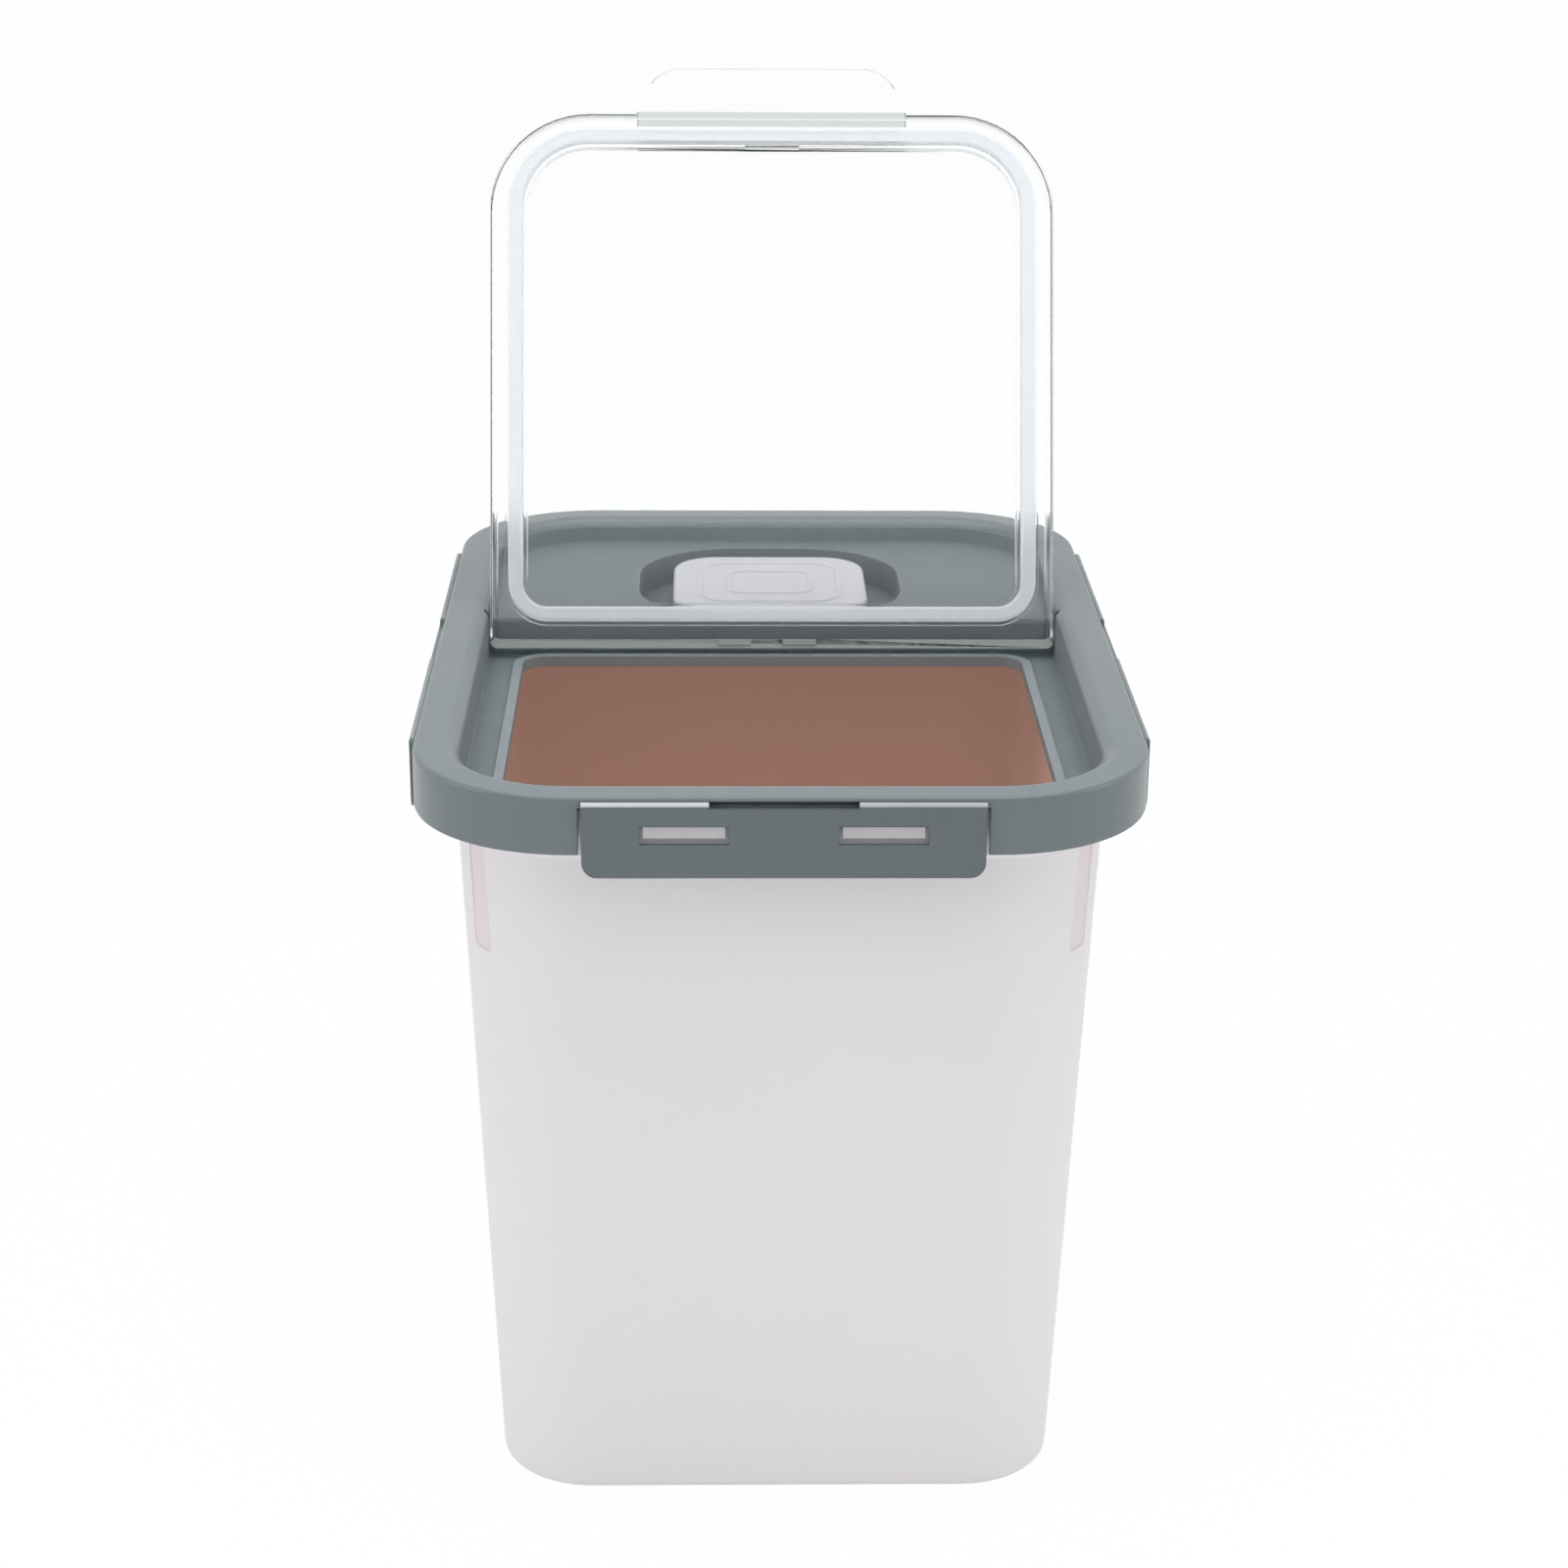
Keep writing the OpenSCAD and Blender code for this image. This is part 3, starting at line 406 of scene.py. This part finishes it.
def hand_over(piece, node, body):
    """Smooth the rounds, keep the flats flat, and let the piece stand for a packed one."""
    bpy.context.view_layer.objects.active = piece
    piece.select_set(True)
    bpy.ops.object.shade_smooth_by_angle(angle=math.radians(SMOOTH_BELOW))
    flats = piece.modifiers.new("flats", "WEIGHTED_NORMAL")
    flats.keep_sharp = True
    flats.weight = FLATS_LEAD
    flats.thresh = SAME_AREA
    bpy.ops.object.modifier_apply(modifier="flats")
    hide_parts(node)
    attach(piece, body)
    print(piece.name, len(piece.data.polygons), "faces")


# %% [markdown]
# ## Outlines, stacked the way a pot is thrown
# The tub and the flip lid both follow rounded rectangles. Each is built from a stack of such
# outlines: a plane is added at the right size and height, its corners are bevelled round, and
# each outline is bridged to the one before. Every wall then has clean, even faces, which
# matters most in clear and glossy plastic.

# %% Helper: one outline of the stack
CORNER_STEPS = 14
CLOSE = 0.001  # mm


def add_outline(shape, number, half, front, rear, front_round, rear_round, height, keep_face):
    """Add a rounded rectangle, in mm, and mark its points with its number in the stack."""
    bpy.ops.mesh.select_all(action="DESELECT")
    middle = (0, (front + rear) / 2 * MM, height * MM)
    bpy.ops.mesh.primitive_plane_add(size=1, location=middle)
    bpy.ops.transform.resize(
        value=(2 * half * MM, (rear - front) * MM, 1), center_override=middle)
    for end, corner in ((front, front_round), (rear, rear_round)):
        points = bmesh.from_edit_mesh(shape.data)
        mark = points.verts.layers.int["ring"]
        for point in points.verts:
            at_end = abs(point.co.y / MM - end) < CLOSE
            at_side = abs(abs(point.co.x) / MM - half) < CLOSE
            point.select_set(point[mark] == 0 and at_end and at_side)
        points.select_flush_mode()
        bpy.ops.mesh.bevel(
            offset=corner * MM, segments=CORNER_STEPS, affect="VERTICES", offset_type="OFFSET")
    points = bmesh.from_edit_mesh(shape.data)
    mark = points.verts.layers.int["ring"]
    for point in points.verts:
        if point[mark] == 0:
            point[mark] = number
    select_rings(shape, number, number)
    if not keep_face:
        bmesh.from_edit_mesh(shape.data).select_flush_mode()
        bpy.ops.mesh.delete(type="ONLY_FACE")


def select_rings(shape, first, second):
    """Select the outlines with these two numbers."""
    bpy.ops.mesh.select_all(action="DESELECT")
    points = bmesh.from_edit_mesh(shape.data)
    mark = points.verts.layers.int["ring"]
    for edge in points.edges:
        ends = {edge.verts[0][mark], edge.verts[1][mark]}
        edge.select_set(ends == {first} or ends == {second})
    bmesh.update_edit_mesh(shape.data)


# %% Helper: bridge a stack of outlines
def stack(name, rings):
    """Piece built from outlines (half, front, rear, front round, rear round, height) in mm."""
    bpy.ops.object.select_all(action="DESELECT")
    shape = bpy.data.objects.new(name, bpy.data.meshes.new(name))
    scene.collection.objects.link(shape)
    shape.select_set(True)
    bpy.context.view_layer.objects.active = shape
    bpy.ops.object.mode_set(mode="EDIT")
    bpy.ops.mesh.select_mode(type="EDGE")
    bmesh.from_edit_mesh(shape.data).verts.layers.int.new("ring")
    for number, ring in enumerate(rings, 1):
        add_outline(shape, number, *ring, keep_face=number in (1, len(rings)))
        if number > 1:
            select_rings(shape, number - 1, number)
            bpy.ops.mesh.bridge_edge_loops()
    points = bmesh.from_edit_mesh(shape.data)
    points.verts.layers.int.remove(points.verts.layers.int["ring"])
    bmesh.update_edit_mesh(shape.data)
    bpy.ops.mesh.select_all(action="SELECT")
    bpy.ops.mesh.normals_make_consistent(inside=False)
    bpy.ops.object.mode_set(mode="OBJECT")
    print(name, len(rings), "outlines,", len(shape.data.polygons), "faces")
    return shape


def arc(steps, start, end):
    """Angles for a round, in radians, from start to end degrees."""
    return [math.radians(start + (end - start) * i / steps) for i in range(steps + 1)]


# %% [markdown]
# ## Tub
# One thin moulding that tapers towards its base, so that it slides out of its mould. It could
# be a solid with its inside cut out, but here the stack starts under the base, climbs the
# outside to the collar, turns over the edge and goes down the inside, so the wall keeps its
# 2.2 mm everywhere. The inside gets a painted brown shade and a painted glow, which stand in for
# the light that comes through the wall and bounces.

# %% Tub: outlines, from the middle of its underside to the middle of its inner floor
HALF_W, HALF_D = 120, 170  # the frame's faces, from which the steps inwards are counted
WALL, FOOT = 2.2, 1.6
SHOULDER, COLLAR_FOOT, COLLAR_TOP = 237.5, 241, 256.4
SHOULDER_STEP, SHOULDER_ROUND = 14.2, 37.8
COLLAR_STEP, COLLAR_ROUND = 7.5, 44.5
TAPER, ROUND_TAPER = 10.3, 5.8  # how much narrower and less round the base is than the shoulder
HALFWAY, GROOVE_END = 120, 199  # outlines at these heights keep the long walls even
LEVEL = 1.1  # how much higher the inside turns outwards than the outside
APART = 0.05  # no two neighbours in the stack lie in one plane
BASE_ROUND, FLOOR_ROUND = 2.5, 6
HOLLOW_EDGE, HOLLOW_TOP = 8.5, 10.1  # the base stands on its edge, its middle is FOOT higher


def wall_ring(inset, height):
    """Outline of the tapered wall, moved in by inset."""
    share = (SHOULDER - height) / SHOULDER
    step = SHOULDER_STEP + TAPER * share + inset
    corner = SHOULDER_ROUND - ROUND_TAPER * share - inset
    return (HALF_W - step, step - HALF_D, HALF_D - step, corner, corner, height)


def collar_ring(inset, height):
    """Outline of the collar that stands inside the frame."""
    step, corner = COLLAR_STEP + inset, COLLAR_ROUND - inset
    return (HALF_W - step, step - HALF_D, HALF_D - step, corner, corner, height)


def turned_in(radius, inset, height, start, end):
    """Outlines of a round at the foot of the wall."""
    return [
        wall_ring(inset + radius * (1 - math.sin(a)), height + radius * (1 - math.cos(a)))
        for a in arc(7, start, end)
    ]


tub_rings = [
    wall_ring(HOLLOW_TOP, FOOT), wall_ring(HOLLOW_EDGE, APART),
    *turned_in(BASE_ROUND, 0, 0, 0, 90), wall_ring(0, HALFWAY), wall_ring(0, GROOVE_END),
    wall_ring(0, SHOULDER), collar_ring(0, COLLAR_FOOT),
    collar_ring(0, COLLAR_TOP - APART), collar_ring(WALL, COLLAR_TOP),
    collar_ring(WALL, COLLAR_FOOT + LEVEL), wall_ring(WALL, SHOULDER + LEVEL),
    wall_ring(WALL, HALFWAY), *turned_in(FLOOR_ROUND, WALL, FOOT + WALL, 90, 0),
]
tub = stack("tub.moulding", tub_rings)

# %% Tub: give the inside its painted brown shade and painted glow
for finish in (tub_white, tub_inside_painted_shade_and_glow, tub_groove_painted_shade):
    tub.data.materials.append(finish)


def inside_tub_painted_shade(centre, normal):
    """The inner wall, which looks at the tub's middle, and the inner floor: painted shade and
    glow.
    """
    across = normal.x * centre.x / HALF_W + normal.y * centre.y / HALF_D
    return 3 < centre.z < 240 and (across < -0.05 or (centre.z < 12 and normal.z > 0.1))


refinish(tub, 1, inside_tub_painted_shade)

# %% [markdown]
# ## Grooves and catches
# A shallow groove runs down each corner from the collar, and eight small catches on the collar
# hold the latches. The groove could be pressed in by moving points, but a cutter with a rounded
# lower end, leaned as the wall leans, gives the crisp edge that the photograph shows.

# %% Helper: join or cut with another solid
def merge_solid(piece, other, operation):
    """Boolean of a piece with another solid, which is used up; its finish comes along."""
    step = piece.modifiers.new("step", "BOOLEAN")
    step.operation = operation
    step.object = other
    step.solver = "EXACT"
    step.material_mode = "TRANSFER"
    bpy.context.view_layer.objects.active = piece
    bpy.ops.object.modifier_apply(modifier="step")
    bpy.data.objects.remove(other)


def block(size, place, turned=None):
    """A block of the given size in mm, with its place and turn in its mesh."""
    bpy.ops.object.select_all(action="DESELECT")
    bpy.ops.mesh.primitive_cube_add(size=1)
    made = bpy.context.object
    made.data.transform(
        Matrix.Translation(Vector(place) * MM) @ (turned or Matrix.Identity(4))
        @ Matrix.Diagonal((*(Vector(size) * MM), 1)))
    return made


# %% Tub: cut the grooves
LEAN_IN = math.atan(TAPER / SHOULDER)
GROOVE = (8.4, 9, 37.5)
GROOVE_ROUND = 1.5
GROOVE_TURN = math.radians(35)  # the direction of a corner, seen from the middle of its round
CORNER_X, CORNER_Y = 68, 118  # the middle of a corner's round
GROOVE_PLACE = Vector((41.1, 0, -17.75))  # outwards and down from there, at shoulder height
for side_x, side_y in ((1, -1), (-1, -1), (1, 1), (-1, 1)):
    cutter = block(GROOVE, (0, 0, 0))
    # the cutter carries the grooves' painted shade into the tub
    cutter.data.materials.append(tub_groove_painted_shade)
    bpy.ops.object.mode_set(mode="EDIT")
    bpy.ops.mesh.select_mode(type="EDGE")
    bpy.ops.mesh.select_all(action="DESELECT")
    shape = bmesh.from_edit_mesh(cutter.data)
    for edge in shape.edges:
        low = all(corner.co.z < 0 for corner in edge.verts)
        edge.select_set(low and abs(edge.verts[0].co.x - edge.verts[1].co.x) > 0.001)
    bmesh.update_edit_mesh(cutter.data)
    bpy.ops.mesh.bevel(offset=GROOVE_ROUND * MM, segments=5)
    bpy.ops.object.mode_set(mode="OBJECT")
    across = math.atan2(side_y * math.sin(GROOVE_TURN), side_x * math.cos(GROOVE_TURN))
    cutter.data.transform(
        Matrix.Translation(Vector((side_x * CORNER_X, side_y * CORNER_Y, SHOULDER)) * MM)
        @ Matrix.Rotation(across, 4, "Z") @ Matrix.Rotation(LEAN_IN, 4, "Y")
        @ Matrix.Translation(GROOVE_PLACE * MM))
    merge_solid(tub, cutter, "DIFFERENCE")
print("tub with grooves:", len(tub.data.polygons), "faces")

# %% Tub: add the catches, two for each latch, grey as painted shade
CATCH = (26, 9.6, 4)
CATCH_Z, CATCH_IN = 252, 3.8
FRONT_X, SIDE_Y = 31.3, 59.5
for turn_deg, half, beside in (
        (0, HALF_D, FRONT_X), (180, HALF_D, FRONT_X), (90, HALF_W, SIDE_Y), (270, HALF_W, SIDE_Y)):
    for side in (-1, 1):
        turned = Matrix.Rotation(math.radians(turn_deg), 4, "Z")
        place = turned @ Vector((side * beside, CATCH_IN - half, CATCH_Z))
        ledge = block(CATCH, place, turned)
        ledge.data.materials.append(catch_painted_shade)
        merge_solid(tub, ledge, "UNION")
print("tub with catches:", len(tub.data.polygons), "faces")


# %% Helper: round the edges of a piece
def round_edges(piece, width, steps=3, sharp=25):
    """Bevel every edge that turns by more than the sharp angle in degrees."""
    edge = piece.modifiers.new("edge", "BEVEL")
    edge.width = width * MM
    edge.segments = steps
    edge.limit_method = "ANGLE"
    edge.angle_limit = math.radians(sharp)
    edge.use_clamp_overlap = False
    bpy.context.view_layer.objects.active = piece
    bpy.ops.object.modifier_apply(modifier="edge")


round_edges(tub, 0.25)
hand_over(tub, "tub", "bin")

# %% [markdown]
# ## Softened mouldings
# No moulded edge is razor sharp: the mould maker rounds it by a few tenths of a millimetre, and
# that round is what catches the light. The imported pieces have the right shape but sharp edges
# and loose triangles. They could be modelled again from nothing, but a copy that is merged,
# freed of the lines across its flats and bevelled along its sharp edges keeps each opening
# and fit exactly where it is. An edge whose round would be larger than its feature can be kept
# crisp. Weighted normals then keep the flats flat beside the rounds.

# %% Helper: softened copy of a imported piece
SHARP = 32  # degrees; edges that turn by more are rounded
MERGE = 0.002  # mm
FLAT = 0.6  # degrees; lines that turn by less are dissolved


def soften(node, body, finishes, round_mm, crisp=None):
    """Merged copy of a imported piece; it stands for that piece. Crisp edges aren't bevelled."""
    bpy.ops.object.select_all(action="DESELECT")
    piece = bpy.data.objects.new(node + ".soft", nodes[node].data.copy())
    scene.collection.objects.link(piece)
    piece.data.name = piece.name
    piece.select_set(True)
    bpy.context.view_layer.objects.active = piece
    bpy.ops.mesh.customdata_custom_splitnormals_clear()
    bpy.ops.object.mode_set(mode="EDIT")
    bpy.ops.mesh.select_all(action="SELECT")
    bpy.ops.mesh.remove_doubles(threshold=MERGE * MM)
    bpy.ops.mesh.dissolve_limited(angle_limit=math.radians(FLAT))
    bpy.ops.mesh.vert_connect_concave()
    shape = bmesh.from_edit_mesh(piece.data)
    weight = shape.edges.layers.float.new("bevel_weight_edge")
    for edge in shape.edges:
        middle = (edge.verts[0].co + edge.verts[1].co) / 2 / MM
        turns = edge.calc_face_angle(0) > math.radians(SHARP)
        edge[weight] = float(turns and not (crisp and crisp(middle)))
    bmesh.update_edit_mesh(piece.data)
    bpy.ops.object.mode_set(mode="OBJECT")
    piece.data.materials.clear()
    for finish in finishes:
        piece.data.materials.append(finish)
    if round_mm:
        edge = piece.modifiers.new("edge", "BEVEL")
        edge.width = round_mm * MM
        edge.segments = 2
        edge.limit_method = "WEIGHT"
        edge.use_clamp_overlap = False
        bpy.ops.object.modifier_apply(modifier="edge")
    hand_over(piece, node, body)
    return piece


# %% [markdown]
# ## Lid frame
# The largest moulding of the set: a skirt, a rim with a rolled inner edge, a recess for the
# lid, a raised lip round the opening and a rear deck with a pocket. Its rim and skirt are
# glossy, the floors have a fine matte texture, and the walls between are painted lighter, as
# painted light for the light they catch. A softened copy keeps the hinge sockets and the
# grooves for the latches exactly in place; the edges of those grooves stay crisp, because a
# round would be larger than their bead, and their inside is painted near black as painted shade.

# %% Lid frame
GROOVE_IN = 2.4  # depth of the hinge grooves below the frame's faces


def at_hinge_height(point):
    """Whether a point lies as high as the latches' hinge beads."""
    return 257.8 < point.z < 262.3


def hinge_groove(point):
    """The small round grooves that hold the latches' hinge beads."""
    outer = abs(point.x) > HALF_W - GROOVE_IN or abs(point.y) > HALF_D - GROOVE_IN
    return at_hinge_height(point) and outer


lid_frame = soften(
    "lid_frame", "bin", [frame_grey, deck_grey, wall_painted_light, groove_painted_shade],
    round_mm=0.45, crisp=hinge_groove)


def recessed(centre, normal):
    """The fine matte floors: the deck, the pocket and the recess."""
    flat = normal.z > 0.95 and abs(centre.x) < 105.5 and abs(centre.y) < 155.5
    return flat and 240 < centre.z < 254.8


def inner_wall_painted_light(centre, normal):
    """The walls of the recess and the pocket, and the lip round the opening, painted lighter as
    painted light.
    """
    inside = abs(centre.x) < 106 and abs(centre.y) < 156 and centre.z > 241
    return inside and (abs(normal.z) < 0.5 or centre.y < 36 and 245.5 < centre.z < 249)


def behind_latch_painted_shade(centre, normal):
    """The inside of the hinge grooves, which lies in deep shade; it is painted near black as
    painted shade.
    """
    front = HALF_D - GROOVE_IN < abs(centre.y) < 169.9 and abs(centre.x) < 64
    side = HALF_W - GROOVE_IN < abs(centre.x) < 119.9 and abs(centre.y) < 110.6
    return at_hinge_height(centre) and (front or side)


refinish(lid_frame, 1, recessed)
refinish(lid_frame, 2, inner_wall_painted_light)
refinish(lid_frame, 3, behind_latch_painted_shade)

# %% [markdown]
# ## Latches
# Each latch is a flat plate with two slots for the catches and a thin bead that it turns on.
# On the real bin the bead is a living hinge, a web so thin that it bends, and bending turns the
# plastic pale. So the bead gets a finish of its own: that whitening, with a painted highlight at
# the front and the rear, and with painted shade at the sides, which are darker. The four latches
# differ only in length, and one loop softens them all.

# %% Latches
# above BEAD the bead gets its whitening with a painted highlight, or with painted shade at the
# sides
BEAD_FOOT, BEAD = 259.2, 260.2  # where edges stay crisp, and where the pale finish starts
for name in ("front_latch", "rear_latch", "left_latch", "right_latch"):
    # front and rear beads get the painted highlight, side beads the painted shade
    bead_whitening_and_painted_light = hinge_whitening_and_highlight if name in ("front_latch", "rear_latch") else hinge_side_whitening_and_shade
    latch = soften(
        name, name, [latch_grey, bead_whitening_and_painted_light], round_mm=0.35,
        crisp=lambda point: point.z > BEAD_FOOT)
    refinish(latch, 1, lambda centre, normal: centre.z > BEAD)

# %% [markdown]
# ## Flip lid
# One clear moulding: a panel with a flange round it, two ribs below it that hold the seal, a
# bar and a finger tab at the front, and two hinge pins. Clear plastic shows every uneven face
# as a wobble in its reflections. So the lid is a stack of outlines again, modelled shut, where
# everything lies square, and turned about its pins into the photographed position at the end.

# %% Flip lid: outlines, from the panel's top over the flange and the ribs to its underside
LID_HALF, LID_FRONT, LID_REAR, LID_TOP = 104.4, -154.4, 44.5, 261
PANEL_TOP, PANEL_UNDER, FLANGE_FOOT, RIB_FOOT = 259, 257, 251, 250
FLANGE, FLANGE_ROUND, REAR_BAR, RIB = 2.2, 1.5, 3.4, 1.2
SEAL_HALF, SEAL_FRONT, SEAL_REAR, SEAL_W = 97.5, -147.5, 34.5, 5.3
PLAY = 0.1
RIB_OUT, RIB_IN = -PLAY - RIB, SEAL_W + PLAY


def lid_ring(inset, height, rear_inset=None):
    """Outline of the flange; its rear bar may be thicker."""
    rear = LID_REAR - (inset if rear_inset is None else rear_inset)
    front_round, rear_round = 36.4 - inset, max(2.5 - inset, 1.5)
    return (LID_HALF - inset, LID_FRONT + inset, rear, front_round, rear_round, height)


def seal_ring(inset, height):
    """Outline of the seal and of the ribs beside it."""
    front_round, rear_round = 29.5 - inset, 14.4 - inset
    return (
        SEAL_HALF - inset, SEAL_FRONT + inset, SEAL_REAR - inset, front_round, rear_round, height)


def top_round(angle):
    """Outline of the round on the flange's top edge."""
    return lid_ring(
        FLANGE_ROUND * (1 - math.sin(angle)), LID_TOP - FLANGE_ROUND * (1 - math.cos(angle)))


flip_lid = stack("flip_lid.moulding", [
    lid_ring(FLANGE, PANEL_TOP, REAR_BAR), lid_ring(FLANGE, LID_TOP - APART, REAR_BAR),
    *(top_round(angle) for angle in arc(5, 0, 90)), lid_ring(0, FLANGE_FOOT),
    lid_ring(FLANGE, FLANGE_FOOT + APART, REAR_BAR), lid_ring(FLANGE, PANEL_UNDER, REAR_BAR),
    seal_ring(RIB_OUT, PANEL_UNDER - APART), seal_ring(RIB_OUT, RIB_FOOT),
    seal_ring(-PLAY, RIB_FOOT + APART), seal_ring(-PLAY, PANEL_UNDER),
    seal_ring(RIB_IN, PANEL_UNDER - APART), seal_ring(RIB_IN, RIB_FOOT),
    seal_ring(RIB_IN + RIB, RIB_FOOT + APART), seal_ring(RIB_IN + RIB, PANEL_UNDER),
])
for finish in (lid_clear, lid_edge, lid_rear_painted_highlight):
    flip_lid.data.materials.append(finish)

# %% Flip lid: break in the inner rib, front bar, lugs, each as its size and place
RIB_BREAK = (20, 1.5, 7.4), (0, -141.45, 253.2)
FRONT_BAR = (100, 5.5, 7.2), (0, -151.65, 262.2)
LUGS = ((12, 2, 2.2), (-14, 42.3, 250.5)), ((12, 2, 2.2), (10, 42.3, 250.5))
merge_solid(flip_lid, block(*RIB_BREAK), "DIFFERENCE")
front_bar = block(*FRONT_BAR)
front_bar.data.materials.append(lid_edge)
merge_solid(flip_lid, front_bar, "UNION")
for lug in LUGS:
    merge_solid(flip_lid, block(*lug), "UNION")
print("lid with bar and lugs:", len(flip_lid.data.polygons), "faces")

# %% Flip lid: finger tab, narrower at its tip
TAB = (100, 19.3, 2), (0, -163.75, 264.8)
TAB_TIP = Vector((0, -173.4, 264.8))
TAB_NARROW, TAB_CORNER = 0.88, 9.5
AHEAD = -170  # only the tip's corners lie ahead of this
tab = block(*TAB)
tab.data.materials.append(lid_clear)
bpy.ops.object.mode_set(mode="EDIT")
bpy.ops.mesh.select_mode(type="VERT")
bpy.ops.mesh.select_all(action="DESELECT")
for corner in bmesh.from_edit_mesh(tab.data).verts:
    corner.select_set(corner.co.y < AHEAD * MM)
bpy.ops.transform.resize(value=(TAB_NARROW, 1, 1), center_override=TAB_TIP * MM)
bpy.ops.mesh.select_mode(type="EDGE")
bpy.ops.mesh.select_all(action="DESELECT")
for edge in bmesh.from_edit_mesh(tab.data).edges:
    low, high = sorted(corner.co.z for corner in edge.verts)
    edge.select_set(high - low > 1.5 * MM and edge.verts[0].co.y < AHEAD * MM)
bpy.ops.mesh.bevel(offset=TAB_CORNER * MM, segments=8)
print("tab:", len(bmesh.from_edit_mesh(tab.data).faces), "faces")

# %% Flip lid: hollow the tab's middle from below, as far back as the bar, and join it
TAB_BORDER, TAB_HOLLOW = 2.8, 0.8
HOLLOW_FRONT, HOLLOW_REAR = -157.5, -156  # the hollow's rear corners lie between these
TO_BAR = 2.75
pick(tab, lambda centre, normal: normal.z < -0.9)
bpy.ops.mesh.inset(thickness=TAB_BORDER * MM)
bpy.ops.mesh.extrude_region_move(TRANSFORM_OT_translate={"value": (0, 0, TAB_HOLLOW * MM)})
bpy.ops.mesh.select_mode(type="VERT")
bpy.ops.mesh.select_all(action="DESELECT")
for corner in bmesh.from_edit_mesh(tab.data).verts:
    corner.select_set(HOLLOW_FRONT * MM < corner.co.y < HOLLOW_REAR * MM)
bpy.ops.transform.translate(value=(0, TO_BAR * MM, 0))
bpy.ops.mesh.select_all(action="SELECT")
bpy.ops.mesh.normals_make_consistent(inside=False)
bpy.ops.object.mode_set(mode="OBJECT")
merge_solid(flip_lid, tab, "UNION")
print("lid with tab:", len(flip_lid.data.polygons), "faces")

# %% Flip lid: add the pins, round the edges, open it
PIN = Vector((0, 37.0006, 254))
PIN_R, PIN_LONG, PIN_MIDDLE = 2.5, 4.6, 105.6
OPEN = math.radians(110)
REAR_FACE = 41.05  # the rear bar lies behind this
for side in (-1, 1):
    bpy.ops.object.select_all(action="DESELECT")
    bpy.ops.mesh.primitive_cylinder_add(vertices=48, radius=PIN_R * MM, depth=PIN_LONG * MM)
    pin = bpy.context.object
    pin.data.transform(
        Matrix.Translation((PIN + Vector((side * PIN_MIDDLE, 0, 0))) * MM)
        @ Matrix.Rotation(math.radians(90), 4, "Y"))
    merge_solid(flip_lid, pin, "UNION")
round_edges(flip_lid, 0.3, steps=2, sharp=33)
# the rear bar gets the painted highlight
refinish(flip_lid, 2, lambda centre, normal: centre.y > REAR_FACE)
flip_lid.data.transform(
    Matrix.Translation(PIN * MM) @ Matrix.Rotation(-OPEN, 4, "X") @ Matrix.Translation(-PIN * MM))
hand_over(flip_lid, "flip_lid", "flip_lid")

# %% [markdown]
# ## Seals
# Three soft rings: one in the lid's channel, one between the frame and the tub, and a thin one
# round the cap's plug. Silicone is milky: part of the light passes, part is scattered. One
# Principled shader with some transmission and a little painted glow, which stands in for the
# scattered light, does both.

# %% Seals
soften("lid_seal", "flip_lid", [seal_milky_painted_glow], round_mm=0)
soften("frame_seal", "bin", [seal_dull], round_mm=0.2)
soften("cap_seal", "desiccant_cap", [seal_dull], round_mm=0.2)

# %% [markdown]
# ## Desiccant cap and cup
# The cap is a white rounded square with two raised rings, and it plugs into a vented cup below
# the deck. The rings could be bump in the material, but as geometry they stay true from every
# side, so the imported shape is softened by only 0.2 mm to keep them.

# %% Desiccant cap and cup
soften("desiccant_cap", "desiccant_cap", [cap_white], round_mm=0.2)
soften("desiccant_cup", "bin", [cap_white], round_mm=0.2)
